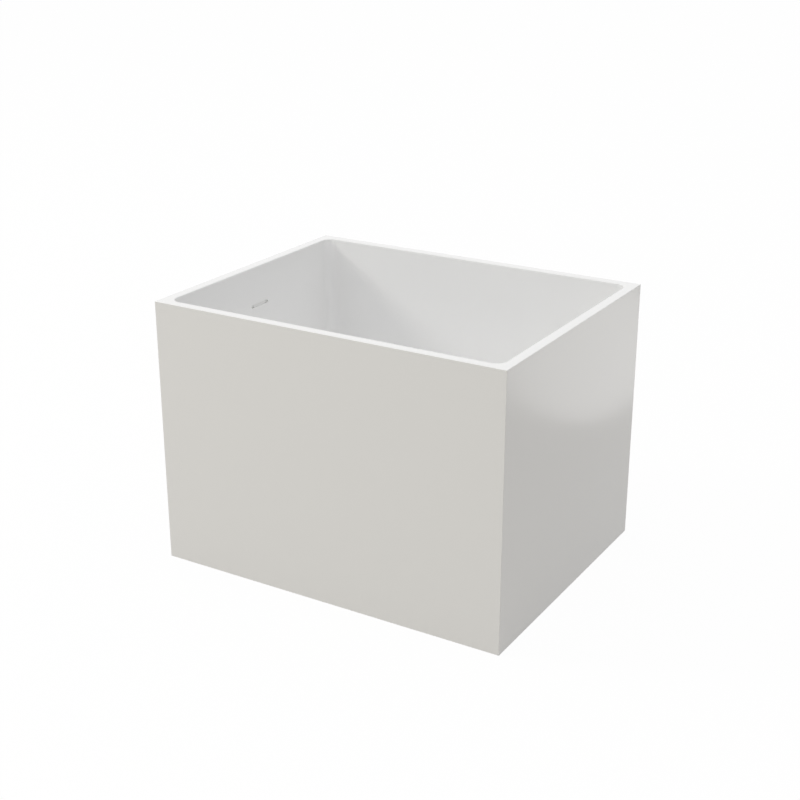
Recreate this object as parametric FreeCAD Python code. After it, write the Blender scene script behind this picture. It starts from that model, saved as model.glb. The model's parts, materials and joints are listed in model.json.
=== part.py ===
import FreeCAD, Part
import math
import os

V = FreeCAD.Vector
os.makedirs("parts", exist_ok=True)

# Lengths are in millimetres. X runs along the tub's length, Y across it and Z up.
# The origin is on the floor, under the middle of the tub.

# Tub
tub_length = 900.0
tub_width = 700.0
tub_height = 650.0
rim_width = 25.0
outer_edge_radius = 1.0
rim_edge_radius = 2.5

# Sheet and glass-fibre laminate
acrylic_thickness = 4.0
laminate_thickness = 3.0
laminate_foot_gap = 6.0
bond_gap = 0.3
edge_margin = 0.3

# Basin
wall_draft_degrees = 6.5
floor_fall_degrees = 0.5
floor_height = 150.0
rim_corner_radius = 25.0
floor_corner_radius = 46.0
floor_edge_radius = 38.0

# Rim rails and wooden base
rim_rail_depth = 40.0
board_thickness = 18.0
board_end_gap = 5.0
board_side_gap = 10.0
batten_thickness = 18.0
batten_foot_gap = 20.0

# Steel frame
rail_size = 25.0
rail_wall = 1.5
long_rail_from_side = 150.0
cross_rail_waste_gap = 15.5
cross_rail_end_gap = 2.5
packer_length = 60.0
packer_edge_gap = 10.0

# Angle clips at the rail ends
clip_leg = 30.0
clip_height = 20.0
clip_thickness = 2.0
clip_screw_radius = 2.0
clip_screw_length = 14.0
clip_screw_head_radius = 4.5
clip_screw_head_height = 3.0

# Screws that hold the board to the cross rails
board_screw_from_edge = 110.0
board_screw_radius = 2.5
board_screw_bite = 12.0
board_screw_head_radius = 6.0
board_screw_head_height = 4.0

# Levelling feet
foot_from_end = 80.0
foot_raise = 10.0
foot_drop = 20.0
foot_pad_radius = 25.0
foot_pad_edge_height = 3.5
foot_pad_height = 14.0
foot_neck_radius = 9.0
foot_socket_floor = 4.0
stem_radius = 6.0
stem_tip_radius = 5.5
stem_hex_width = 17.0
stem_hex_height = 8.0
stem_hex_gap = 1.0
stem_hole_gap = 0.6
weld_nut_width = 18.0
weld_nut_height = 10.0
lock_nut_width = 19.0
lock_nut_height = 7.0
running_gap = 0.05

# Waste
waste_from_floor_end = 95.0
recess_radius = 45.0
recess_depth = 2.5
waste_hole_radius = 26.0
board_hole_gap = 3.0
waste_flange_radius = 36.0
waste_flange_rise = 3.0
waste_flange_lip = 1.2
waste_dish_depth = 1.3
sleeve_radius = 23.9
sleeve_throat_radius = 20.5
sleeve_ledge_radius = 18.5
sleeve_ledge_height = 10.0
sleeve_length = 41.5
throat_depth = 3.0
flange_seal_thickness = 1.0
flange_seal_width = 7.0
under_seal_thickness = 3.0
body_flange_radius = 37.0
body_flange_thickness = 6.0
body_radius = 30.0
thread_gap = 0.1
chamber_radius = 26.0
chamber_height = 26.0
chamber_gap = 2.0
body_floor_thickness = 4.0
outlet_socket_radius = 24.0
outlet_socket_length = 18.0
outlet_hole_radius = 17.0

# Tail pipe with its compression nut
tail_radius = 20.0
tail_wall = 1.8
tail_neck_step = 0.5
tail_floor_gap = 12.0
tail_washer_thickness = 4.0
tail_nut_width = 56.0
tail_nut_grip = 10.0
tail_nut_lip = 4.0
tail_nut_gap = 1.0
tail_nut_hole_gap = 0.3

# Stopper
stopper_lift = 8.5
stopper_stop_gap = 0.2
stopper_radius = 30.0
stopper_crown = 5.3
stopper_edge = 0.8
dome_steps = 6
stopper_seat_gap = 0.3
stopper_seal_radius = 26.0
stopper_seal_width = 4.5
stopper_seal_thickness = 1.4
stopper_skirt_width = 2.4
stopper_skirt_drop = 1.8
stopper_stem_radius = 4.0
stopper_collar_radius = 6.0
stopper_collar_height = 3.0
guide_hub_radius = 8.0
guide_height = 6.0
guide_ring_width = 1.8
guide_arm_width = 3.0
guide_arms = 3

# Overflow slot and its cover
overflow_drop = 94.0
overflow_slot_length = 68.0
overflow_slot_height = 7.0
cover_length = 50.0
cover_side_gap = 0.15
cover_thickness = 3.0
cover_recess = 1.5
cover_wing_end_gap = 0.5
cover_wing_height = 3.5
cover_wing_recess = 3.0
cover_wing_thickness = 2.5
cover_leg_spacing = 30.0
cover_leg_width = 6.0
cover_leg_height = 5.0

# Overflow box behind the slot
box_wall = 2.5
box_width = 96.0
box_above_slot = 34.0
box_below_slot = 76.0
box_flange_width = 8.0
box_flange_thickness = 3.0
box_back_gap = 3.0
overflow_gasket_thickness = 2.0
spigot_radius = 9.0
spigot_wall = 1.5
spigot_length = 30.0

# Overflow hose
hose_radius = 12.0
hose_root_radius = 10.6
hose_bore_radius = 9.2
hose_cuff = 24.0
hose_end_gap = 2.0
hose_rib_pitch = 5.0
hose_side_gap = 2.0
hose_foot_run = 8.0
hose_cuff_margin = 2.0
rib_crest_share = 0.3
rib_flank_share = 0.15
rib_root_share = 0.4
hose_clip_width = 8.0
hose_clip_thickness = 0.8
hose_clip_gap = 0.05
hose_clip_inset = 6.0
clip_housing_length = 12.0
clip_housing_height = 5.0

# One overrun serves every cut
overrun = 5.0

# Places round a quarter turn, as shares of it
quarter_shares = (0, 0.5, 1)

# Places worked out from the sizes above
draft = math.radians(wall_draft_degrees)
shell_thickness = acrylic_thickness + laminate_thickness
half_length = tub_length / 2
half_width = tub_width / 2
skirt_top = tub_height - acrylic_thickness
floor_half_length = half_length - rim_width - (tub_height - floor_height) * math.tan(draft)
floor_half_width = half_width - rim_width - (tub_height - floor_height) * math.tan(draft)
waste_x = waste_from_floor_end - floor_half_length
batten_outer_x = half_length - shell_thickness
batten_outer_y = half_width - shell_thickness
batten_inner_x = batten_outer_x - batten_thickness
batten_inner_y = batten_outer_y - batten_thickness
board_bottom = floor_height - shell_thickness - board_thickness
cross_rail_bottom = board_bottom - rail_size
long_rail_bottom = cross_rail_bottom - rail_size
board_half_length = floor_half_length - floor_edge_radius - board_end_gap
board_half_width = floor_half_width - floor_edge_radius - board_side_gap
board_hole_radius = recess_radius + shell_thickness + board_hole_gap
cross_rail_left = waste_x + board_hole_radius + cross_rail_waste_gap + rail_size / 2
cross_rail_right = board_half_length - cross_rail_end_gap - rail_size / 2
cross_rail_places = [cross_rail_left, (cross_rail_left + cross_rail_right) / 2, cross_rail_right]
long_rail_places = [side * (half_width - long_rail_from_side) for side in (-1, 1)]
recess_height = floor_height - recess_depth
recess_underside = recess_height - shell_thickness
slot_height = tub_height - overflow_drop
cover_height = overflow_slot_height - 2 * cover_side_gap
cover_wing_length = overflow_slot_length - 2 * cover_wing_end_gap


def box(x0, x1, y0, y1, z0, z1):
    """Block between two opposite corners."""
    return Part.makeBox(x1 - x0, y1 - y0, z1 - z0, V(x0, y0, z0))


def rod(radius, start, end):
    """Round bar from one point to another."""
    run = end - start
    return Part.makeCylinder(radius, run.Length, start, run)


def turned(points, x, y):
    """Solid turned about the upright axis at (x, y) from (radius, height) points."""
    outline = [V(x + radius, y, height) for radius, height in points]
    face = Part.Face(Part.makePolygon(outline + outline[:1]))
    return face.revolve(V(x, y, 0), V(0, 0, 1), 360)


def ring(inner, outer, x, y, z0, z1):
    """Flat ring on an upright axis."""
    return turned([(inner, z0), (outer, z0), (outer, z1), (inner, z1)], x, y)


def hexagon(width, x, y, z0, z1):
    """Upright hexagonal bar, sized across its flats."""
    reach = width / 2 / math.cos(math.pi / 6)
    corners = [V(x + reach * math.cos(turn * math.pi / 3), y + reach * math.sin(turn * math.pi / 3), z0)
               for turn in range(7)]
    return Part.Face(Part.makePolygon(corners)).extrude(V(0, 0, z1 - z0))


def prism_y(points, y0, y1):
    """Prism along Y from (x, z) points."""
    outline = [V(x, y0, z) for x, z in points]
    return Part.Face(Part.makePolygon(outline + outline[:1])).extrude(V(0, y1 - y0, 0))


def obround(length, height, x0, x1, z):
    """Bar along X whose section is a slot shape, lying across the tub."""
    middle = (length - height) / 2
    low = z - height / 2
    core = box(x0, x1, -middle, middle, low, low + height)
    ends = [rod(height / 2, V(x0, side * middle, z), V(x1, side * middle, z)) for side in (-1, 1)]
    return core.fuse(ends).removeSplitter()


def cut_all(shape, tools):
    """Shape less every tool."""
    for tool in tools:
        shape = shape.cut(tool)
    return shape


def fused(shapes):
    """One solid from pieces that meet."""
    return shapes[0].fuse(shapes[1:]).removeSplitter()


def save(name, *solids):
    """Write one node; a group of like pieces keeps them as separate solids."""
    shape = solids[0] if len(solids) == 1 else Part.makeCompound(list(solids))
    shape.exportStep("parts/" + name + ".step")


# Basin form

def inward(height):
    """How far the sloping walls have come in at a height."""
    return (tub_height - height) * math.tan(draft)


def rounded_rectangle(half_x, half_y, radius, height):
    """Level rectangle with round corners."""
    points = []
    for quarter, (sign_x, sign_y) in enumerate(((1, 1), (-1, 1), (-1, -1), (1, -1))):
        centre = V(sign_x * (half_x - radius), sign_y * (half_y - radius), height)
        angles = [(quarter + share) * math.pi / 2 for share in quarter_shares]
        points.append([centre + V(radius * math.cos(a), radius * math.sin(a), 0) for a in angles])
    edges = []
    for corner, following in zip(points, points[1:] + points[:1]):
        edges.append(Part.Arc(*corner).toShape())
        edges.append(Part.LineSegment(corner[2], following[0]).toShape())
    return Part.Wire(edges)


def basin_section(height, grow):
    """Level section of the basin, grown outwards by a thickness."""
    spread = grow / math.cos(draft)
    share_down = (tub_height - height) / (tub_height - floor_height)
    radius = rim_corner_radius + share_down * (floor_corner_radius - rim_corner_radius)
    half_x = half_length - rim_width - inward(height) + spread
    half_y = half_width - rim_width - inward(height) + spread
    return rounded_rectangle(half_x, half_y, radius + spread, height)


def basin_form(grow, top):
    """Everything inside the basin up to a height, grown outwards by a thickness.

    The walls slope in, the floor falls towards the waste, one round runs along the
    foot of the walls, and a shallow round recess takes the waste flange.
    """
    fall = math.radians(floor_fall_degrees)
    below = floor_height - grow - tub_length * math.tan(fall) - overrun
    form = Part.makeLoft([basin_section(below, grow), basin_section(top, grow)], True, True)
    pivot = V(waste_x, 0, floor_height - grow / math.cos(fall))
    ground = box(-tub_length, tub_length, -tub_width, tub_width, pivot.z - tub_height, pivot.z)
    ground.rotate(pivot, V(0, 1, 0), -floor_fall_degrees)
    form = form.cut(ground)
    up = V(-math.sin(fall), 0, math.cos(fall))
    foot = [edge for edge in form.Edges
            if all(abs((vertex.Point - pivot).dot(up)) < edge_margin for vertex in edge.Vertexes)]
    form = form.makeFillet(floor_edge_radius + grow, foot)
    recess = rod(recess_radius + grow, V(waste_x, 0, recess_height - grow), V(waste_x, 0, floor_height + overrun))
    return form.fuse(recess).removeSplitter()


def wall_x(height, grow):
    """X of the sloping overflow-end wall at a height, grown outwards by a thickness."""
    return rim_width - half_length + inward(height) - grow / math.cos(draft)


def wall_slab(y_half, z0, z1, inner_grow, outer_grow):
    """Flat slab that lies against the overflow-end wall between two thicknesses."""
    return prism_y([(wall_x(z0, outer_grow), z0), (wall_x(z0, inner_grow), z0),
                    (wall_x(z1, inner_grow), z1), (wall_x(z1, outer_grow), z1)], -y_half, y_half)


def slot_cutter():
    """Overflow slot through the basin wall."""
    return obround(overflow_slot_length, overflow_slot_height, -half_length, wall_x(slot_height, 0) + overrun,
                   slot_height)


def waste_cutter():
    """Waste hole through the basin floor."""
    return rod(waste_hole_radius, V(waste_x, 0, recess_underside - overrun), V(waste_x, 0, floor_height + overrun))


def upright_edges(solid):
    """Edges of a block that stand upright."""
    return [edge for edge in solid.Edges if abs(edge.Vertexes[0].Z - edge.Vertexes[-1].Z) > edge_margin]


def rim_plate():
    """Flat rim, with its outer edges softened."""
    plate = box(-half_length, half_length, -half_width, half_width, skirt_top, tub_height)
    top = [edge for edge in plate.Edges if min(vertex.Z for vertex in edge.Vertexes) > skirt_top + edge_margin]
    return plate.makeFillet(outer_edge_radius, upright_edges(plate) + top)


def basin_shell():
    """Acrylic basin, pressed from one sheet, with its flat rim."""
    shell = fused([rim_plate(), basin_form(acrylic_thickness, tub_height - rim_edge_radius)])
    shell = shell.cut(basin_form(0, tub_height + overrun))
    level = tub_height - edge_margin
    rim_reach = half_length - outer_edge_radius - edge_margin
    side_reach = half_width - outer_edge_radius - edge_margin
    mouth = [edge for edge in shell.Edges
             if all(v.Z > level and abs(v.X) < rim_reach and abs(v.Y) < side_reach for v in edge.Vertexes)]
    shell = shell.makeFillet(rim_edge_radius, mouth)
    return cut_all(shell, [slot_cutter(), waste_cutter()])


def basin_laminate():
    """Glass-fibre laminate on the hidden side of the basin."""
    inside = basin_form(acrylic_thickness, skirt_top + overrun).fuse([slot_cutter(), waste_cutter()])
    return basin_form(shell_thickness, skirt_top).cut(inside)


# Outer skirts

def skirt_ring():
    """Four outer walls as one ring, ready to be parted at the corners."""
    outer = box(-half_length, half_length, -half_width, half_width, 0, skirt_top)
    outer = outer.makeFillet(outer_edge_radius, upright_edges(outer))
    inner_x = half_length - acrylic_thickness
    inner_y = half_width - acrylic_thickness
    return outer.cut(box(-inner_x, inner_x, -inner_y, inner_y, -overrun, skirt_top + overrun))


def skirt_panel(sign_x, sign_y):
    """One outer wall, mitred at both ends."""
    near = overrun
    far = overrun + acrylic_thickness
    if sign_x:
        outline = [V(sign_x * (half_length + near), -half_width - near, 0),
                   V(sign_x * (half_length + near), half_width + near, 0),
                   V(sign_x * (half_length - far), half_width - far, 0),
                   V(sign_x * (half_length - far), far - half_width, 0)]
    else:
        outline = [V(-half_length - near, sign_y * (half_width + near), 0),
                   V(half_length + near, sign_y * (half_width + near), 0),
                   V(half_length - far, sign_y * (half_width - far), 0),
                   V(far - half_length, sign_y * (half_width - far), 0)]
    wedge = Part.Face(Part.makePolygon(outline + outline[:1])).extrude(V(0, 0, tub_height))
    return skirt_ring().common(wedge)


def skirt_laminate():
    """Glass-fibre laminate that joins the four skirts from inside."""
    outer_x = half_length - acrylic_thickness
    outer_y = half_width - acrylic_thickness
    outer = box(-outer_x, outer_x, -outer_y, outer_y, laminate_foot_gap, skirt_top)
    return outer.cut(box(-batten_outer_x, batten_outer_x, -batten_outer_y, batten_outer_y, 0, tub_height))


# Wood

def rim_rail(sign_x, sign_y):
    """Plywood strip under the rim, bonded between basin and skirt."""
    spread = shell_thickness / math.cos(draft)
    thickness = rim_width - shell_thickness - spread + inward(skirt_top) - bond_gap
    low = skirt_top - rim_rail_depth
    if sign_y:
        y0, y1 = sorted((sign_y * batten_outer_y, sign_y * (batten_outer_y - thickness)))
        return box(-batten_outer_x, batten_outer_x, y0, y1, low, skirt_top)
    x0, x1 = sorted((sign_x * batten_outer_x, sign_x * (batten_outer_x - thickness)))
    end = batten_outer_y - thickness
    return box(x0, x1, -end, end, low, skirt_top)


def foot_batten(sign_x, sign_y):
    """Plywood batten along the foot of one skirt."""
    if sign_y:
        y0, y1 = sorted((sign_y * batten_outer_y, sign_y * batten_inner_y))
        batten = box(-batten_outer_x, batten_outer_x, y0, y1, batten_foot_gap, board_bottom)
    else:
        x0, x1 = sorted((sign_x * batten_outer_x, sign_x * batten_inner_x))
        batten = box(x0, x1, -batten_inner_y, batten_inner_y, batten_foot_gap, board_bottom)
    return cut_all(batten, clip_screw_shanks())


def base_board():
    """Plywood board bedded under the basin floor."""
    board = box(-board_half_length, board_half_length, -board_half_width, board_half_width, board_bottom,
                floor_height + tub_length * math.tan(math.radians(floor_fall_degrees)))
    hole = rod(board_hole_radius, V(waste_x, 0, board_bottom - overrun), V(waste_x, 0, floor_height))
    board = board.cut(basin_form(shell_thickness, tub_height))
    return cut_all(board.cut(hole), board_screw_shanks())


def board_packers():
    """Wooden packers between the long rails and the waste end of the board."""
    start = packer_edge_gap - board_half_length
    return [box(start, start + packer_length, y - rail_size / 2, y + rail_size / 2, cross_rail_bottom, board_bottom)
            for y in long_rail_places]


# Steel frame

def square_tube(x0, x1, y0, y1, z0, z1, along_x):
    """Square tube, open at both ends."""
    tube = box(x0, x1, y0, y1, z0, z1)
    if along_x:
        bore = box(x0 - overrun, x1 + overrun, y0 + rail_wall, y1 - rail_wall, z0 + rail_wall, z1 - rail_wall)
    else:
        bore = box(x0 + rail_wall, x1 - rail_wall, y0 - overrun, y1 + overrun, z0 + rail_wall, z1 - rail_wall)
    return tube.cut(bore)


def foot_places():
    """Middles of the four feet, front left first and then anticlockwise."""
    x = half_length - foot_from_end
    front, back = long_rail_places
    return [(-x, front), (x, front), (x, back), (-x, back)]


def long_rail(y):
    """Long rail, drilled for two feet."""
    half = rail_size / 2
    top = long_rail_bottom + rail_size
    rail = square_tube(-batten_inner_x, batten_inner_x, y - half, y + half, long_rail_bottom, top, True)
    holes = [rod(stem_radius + stem_hole_gap, V(foot_x, y, long_rail_bottom - overrun), V(foot_x, y, top + overrun))
             for foot_x, foot_y in foot_places() if foot_y == y]
    return cut_all(rail, holes + clip_screw_shanks())


def cross_rail(x):
    """Cross rail, drilled for its two board screws."""
    half = rail_size / 2
    rail = square_tube(x - half, x + half, -batten_inner_y, batten_inner_y, cross_rail_bottom, board_bottom, False)
    return cut_all(rail, board_screw_shanks() + clip_screw_shanks())


def clip_frames():
    """Corner, run along the rail and run along the batten of every angle clip, with its middle height."""
    frames = []
    half = rail_size / 2
    for x in cross_rail_places:
        for side in (-1, 1):
            frames.append((V(x + half, side * batten_inner_y, cross_rail_bottom + half), V(0, -side, 0), V(1, 0, 0)))
    for y in long_rail_places:
        away = 1 if y > 0 else -1
        for side in (-1, 1):
            corner = V(side * batten_inner_x, y + away * half, long_rail_bottom + half)
            frames.append((corner, V(-side, 0, 0), V(0, away, 0)))
    return frames


def slab(corner, run, depth, length, thickness, height):
    """Upright plate that starts at a corner and runs one way, with its thickness another way."""
    end = corner + run * length + depth * thickness
    low = corner.z - height / 2
    x0, x1 = sorted((corner.x, end.x))
    y0, y1 = sorted((corner.y, end.y))
    return box(x0, x1, y0, y1, low, low + height)


def clip_screw_lines():
    """Seat and inward direction of both screws of every clip."""
    lines = []
    reach = clip_leg / 2 + clip_thickness
    for corner, along_rail, along_batten in clip_frames():
        lines.append((corner + along_rail * reach + along_batten * clip_thickness, along_batten * -1))
        lines.append((corner + along_batten * reach + along_rail * clip_thickness, along_rail * -1))
    return lines


def clip_screw_shanks():
    """Shanks of the clip screws, which also drill their holes."""
    return [rod(clip_screw_radius, seat, seat + inwards * clip_screw_length) for seat, inwards in clip_screw_lines()]


def rail_clips():
    """Angle clips that tie the rail ends to the battens."""
    clips = []
    for corner, along_rail, along_batten in clip_frames():
        rail_leg = slab(corner, along_rail, along_batten, clip_leg, clip_thickness, clip_height)
        batten_leg = slab(corner, along_batten, along_rail, clip_leg, clip_thickness, clip_height)
        clips.append(cut_all(fused([rail_leg, batten_leg]), clip_screw_shanks()))
    return clips


def clip_screws():
    """Screws of the angle clips."""
    screws = []
    for (seat, inwards), shank in zip(clip_screw_lines(), clip_screw_shanks()):
        screws.append(fused([rod(clip_screw_head_radius, seat - inwards * clip_screw_head_height, seat), shank]))
    return screws


def board_screw_places():
    """Plan positions of the board screws."""
    y = board_half_width - board_screw_from_edge
    return [(x, side * y) for x in cross_rail_places for side in (-1, 1)]


def board_screw_shanks():
    """Shanks of the board screws, which also drill their holes."""
    return [rod(board_screw_radius, V(x, y, cross_rail_bottom), V(x, y, board_bottom + board_screw_bite))
            for x, y in board_screw_places()]


def board_screws():
    """Screws from under the cross rails up into the board."""
    heads = [rod(board_screw_head_radius, V(x, y, cross_rail_bottom - board_screw_head_height),
                 V(x, y, cross_rail_bottom)) for x, y in board_screw_places()]
    return [fused([head, shank]) for head, shank in zip(heads, board_screw_shanks())]


# Levelling feet

def drilled_nut(width, x, y, z0, z1):
    """Hexagonal nut with a running bore for a foot stem."""
    bore = rod(stem_radius + running_gap, V(x, y, z0 - overrun), V(x, y, z1 + overrun))
    return hexagon(width, x, y, z0, z1).cut(bore)


def weld_nuts():
    """Nuts welded inside the long rails."""
    low = long_rail_bottom + rail_wall
    return [drilled_nut(weld_nut_width, x, y, low, low + weld_nut_height) for x, y in foot_places()]


def lock_nuts():
    """Nuts that lock the stems against the undersides of the long rails."""
    low = long_rail_bottom - lock_nut_height
    return [drilled_nut(lock_nut_width, x, y, low, long_rail_bottom) for x, y in foot_places()]


def foot_pad(x, y):
    """Pad that stands on the floor, with a round socket for its stem."""
    bore = stem_tip_radius + running_gap
    shoulder = (foot_pad_edge_height + foot_pad_height) / 2
    waist = (foot_neck_radius + foot_pad_radius / 2) / 2
    return turned([(0, 0), (foot_pad_radius, 0), (foot_pad_radius, foot_pad_edge_height), (waist, shoulder),
                   (foot_neck_radius, foot_pad_height), (bore, foot_pad_height), (bore, foot_socket_floor),
                   (0, foot_socket_floor)], x, y)


def foot_stem(x, y):
    """Threaded stem with its spanner hexagon and a plain tip that turns in the pad."""
    hex_low = foot_pad_height + stem_hex_gap
    hex_top = hex_low + stem_hex_height
    top = long_rail_bottom + rail_wall + weld_nut_height + foot_drop
    return fused([rod(stem_tip_radius, V(x, y, foot_socket_floor), V(x, y, hex_low)),
                  hexagon(stem_hex_width, x, y, hex_low, hex_top),
                  rod(stem_radius, V(x, y, hex_top), V(x, y, top))])


# Waste

flange_seat = recess_height + flange_seal_thickness
flange_top = flange_seat + waste_flange_rise
sleeve_bottom = recess_height - sleeve_length
guide_bottom = sleeve_bottom + sleeve_ledge_height
body_top = recess_underside - under_seal_thickness
chamber_top = sleeve_bottom - chamber_gap
chamber_bottom = chamber_top - chamber_height
body_floor = chamber_bottom - body_floor_thickness
inlet_height = (chamber_bottom + chamber_top) / 2
socket_bottom = body_floor - outlet_socket_length
neck_radius = tail_radius - tail_neck_step
cap_underside = (flange_top - waste_dish_depth) + 2 * stopper_seat_gap + stopper_seal_thickness


def waste_flange():
    """Chromed waste flange with its threaded sleeve and the ledge for the stopper's guide."""
    edge = waste_flange_radius
    lip = waste_flange_lip
    dish_low = flange_top - waste_dish_depth
    return turned([(edge, flange_seat), (edge, flange_seat + lip), (edge - lip, flange_top - lip / 2),
                   (edge - 2 * lip, flange_top), (sleeve_radius, dish_low),
                   (sleeve_throat_radius, dish_low - throat_depth), (sleeve_throat_radius, guide_bottom),
                   (sleeve_ledge_radius, guide_bottom), (sleeve_ledge_radius, sleeve_bottom),
                   (sleeve_radius, sleeve_bottom), (sleeve_radius, flange_seat)], waste_x, 0)


def flange_seal():
    """Seal between the waste flange and the acrylic."""
    inner = waste_hole_radius + flange_seal_thickness
    return ring(inner, inner + flange_seal_width, waste_x, 0, recess_height, flange_seat)


def under_seal():
    """Thick seal between the laminate and the waste body."""
    return ring(waste_hole_radius, body_flange_radius, waste_x, 0, body_top, recess_underside)


def waste_body():
    """Moulded waste body under the basin, with the overflow inlet and the outlet socket."""
    barrel = turned([(body_flange_radius, body_top), (sleeve_radius + thread_gap, body_top),
                     (sleeve_radius + thread_gap, chamber_top), (chamber_radius, chamber_top),
                     (chamber_radius, chamber_bottom), (outlet_hole_radius, chamber_bottom),
                     (outlet_hole_radius, body_floor), (neck_radius + running_gap, body_floor),
                     (neck_radius + running_gap, socket_bottom), (outlet_socket_radius, socket_bottom),
                     (outlet_socket_radius, body_floor), (body_radius, body_floor),
                     (body_radius, body_top - body_flange_thickness),
                     (body_flange_radius, body_top - body_flange_thickness)], waste_x, 0)
    inner_end = V(waste_x - chamber_radius, 0, inlet_height)
    outer_end = V(waste_x - body_radius - hose_end_gap - hose_cuff + spigot_wall, 0, inlet_height)
    spigot = rod(spigot_radius, inner_end - V(spigot_wall, 0, 0), outer_end)
    bore = rod(spigot_radius - spigot_wall, inner_end + V(overrun, 0, 0), outer_end - V(overrun, 0, 0))
    return fused([barrel, spigot]).cut(bore)


def tail_pipe():
    """Tail pipe: a neck in the socket and a full-size free end for the trap."""
    bore = neck_radius - tail_wall
    nut_bottom = socket_bottom - tail_washer_thickness - tail_nut_lip
    shoulder = nut_bottom - tail_nut_gap
    return turned([(bore, tail_floor_gap), (tail_radius, tail_floor_gap), (tail_radius, shoulder),
                   (neck_radius, shoulder), (neck_radius, body_floor), (bore, body_floor)], waste_x, 0)


def tail_washer():
    """Washer squeezed between the socket and the tail nut."""
    return ring(neck_radius + running_gap, outlet_socket_radius, waste_x, 0,
                socket_bottom - tail_washer_thickness, socket_bottom)


def tail_nut():
    """Compression nut that holds the tail pipe."""
    seat = socket_bottom - tail_washer_thickness
    low = seat - tail_nut_lip
    top = socket_bottom + tail_nut_grip
    nut = hexagon(tail_nut_width, waste_x, 0, low, top)
    through = rod(neck_radius + tail_nut_hole_gap, V(waste_x, 0, low - overrun), V(waste_x, 0, top))
    thread = rod(outlet_socket_radius + thread_gap, V(waste_x, 0, seat), V(waste_x, 0, top + overrun))
    return cut_all(nut, [through, thread])


# Stopper

def stopper_cap():
    """Domed cap with a short ring under it that centres the seal."""
    centring = stopper_seal_radius - stopper_seal_width
    inner = centring - stopper_skirt_width
    edge = cap_underside + stopper_edge
    crown = edge + stopper_crown
    drop = cap_underside - stopper_skirt_drop
    radius = stopper_radius
    turns = [step / dome_steps * math.pi / 2 for step in range(1, dome_steps)]
    dome = [(radius * math.sin(turn), edge + stopper_crown * math.cos(turn)) for turn in turns]
    return turned([(0, cap_underside), (0, crown)] + dome +
                  [(radius, edge), (radius, cap_underside), (centring, cap_underside), (centring, drop),
                   (inner, drop), (inner, cap_underside)], waste_x, 0)


def stopper_seal():
    """Soft ring that closes on the dish of the waste flange."""
    return ring(stopper_seal_radius - stopper_seal_width + running_gap, stopper_seal_radius, waste_x, 0,
                cap_underside - stopper_seal_thickness, cap_underside)


def stopper_stem():
    """Stem that slides in the guide, with a collar that stops the lift."""
    collar_top = guide_bottom - stopper_lift - stopper_stop_gap
    foot = collar_top - stopper_collar_height
    return turned([(0, foot), (stopper_collar_radius, foot), (stopper_collar_radius, collar_top),
                   (stopper_stem_radius, collar_top), (stopper_stem_radius, cap_underside),
                   (0, cap_underside)], waste_x, 0)


def stopper_guide():
    """Spoked guide on the ledge of the waste sleeve."""
    top = guide_bottom + guide_height
    outer = sleeve_throat_radius - running_gap
    inner = outer - guide_ring_width
    rim = ring(inner, outer, waste_x, 0, guide_bottom, top)
    hub = rod(guide_hub_radius, V(waste_x, 0, guide_bottom), V(waste_x, 0, top))
    arms = []
    for turn in range(guide_arms):
        half = guide_arm_width / 2
        reach = inner + guide_ring_width / 2
        arm = box(waste_x, waste_x + reach, -half, half, guide_bottom, top)
        arm.rotate(V(waste_x, 0, 0), V(0, 0, 1), turn * 360 / guide_arms)
        arms.append(arm)
    bore = rod(stopper_stem_radius + running_gap, V(waste_x, 0, guide_bottom - overrun), V(waste_x, 0, top + overrun))
    return fused([hub, rim] + arms).cut(bore)


# Overflow

gasket_face = shell_thickness + overflow_gasket_thickness
box_top = slot_height + box_above_slot
box_bottom = slot_height - box_below_slot
box_back = box_back_gap - batten_outer_x
box_inside_half = box_width / 2 - box_wall
spigot_x = (box_back + wall_x(box_bottom, gasket_face)) / 2


def overflow_window(inner_grow, outer_grow):
    """Window in the gasket and in the flange of the overflow box."""
    return wall_slab(box_inside_half, box_bottom + box_wall, box_top - box_wall, inner_grow, outer_grow)


def cover_layer(length, height, recess, thickness):
    """One layer of the cover: a slot-shaped bar between two depths behind the face of the wall."""
    bar = obround(length, height, box_back, wall_x(slot_height, 0) + overrun, slot_height)
    return bar.common(wall_slab(length, slot_height - height, slot_height + height, recess, recess + thickness))


def overflow_cover():
    """Bar that closes the middle of the slot, with low wings at its ends and two legs on the back of the box."""
    front = cover_recess + cover_thickness / 2
    bar = cover_layer(cover_length, cover_height, cover_recess, cover_thickness)
    wings = cover_layer(cover_wing_length, cover_wing_height, cover_wing_recess, cover_wing_thickness)
    legs = []
    for side in (-1, 1):
        y = side * cover_leg_spacing / 2
        half = cover_leg_width / 2
        low = slot_height - cover_leg_height / 2
        top = slot_height + cover_leg_height / 2
        legs.append(prism_y([(box_back + box_wall, low), (wall_x(low, front), low), (wall_x(top, front), top),
                             (box_back + box_wall, top)], y - half, y + half))
    return fused([bar, wings] + legs)


def overflow_gasket():
    """Gasket between the laminate and the overflow box."""
    reach = box_width / 2 + box_flange_width
    sheet = wall_slab(reach, box_bottom - box_flange_width, box_top + box_flange_width, shell_thickness, gasket_face)
    return sheet.cut(overflow_window(shell_thickness - overrun, gasket_face + overrun))


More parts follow.
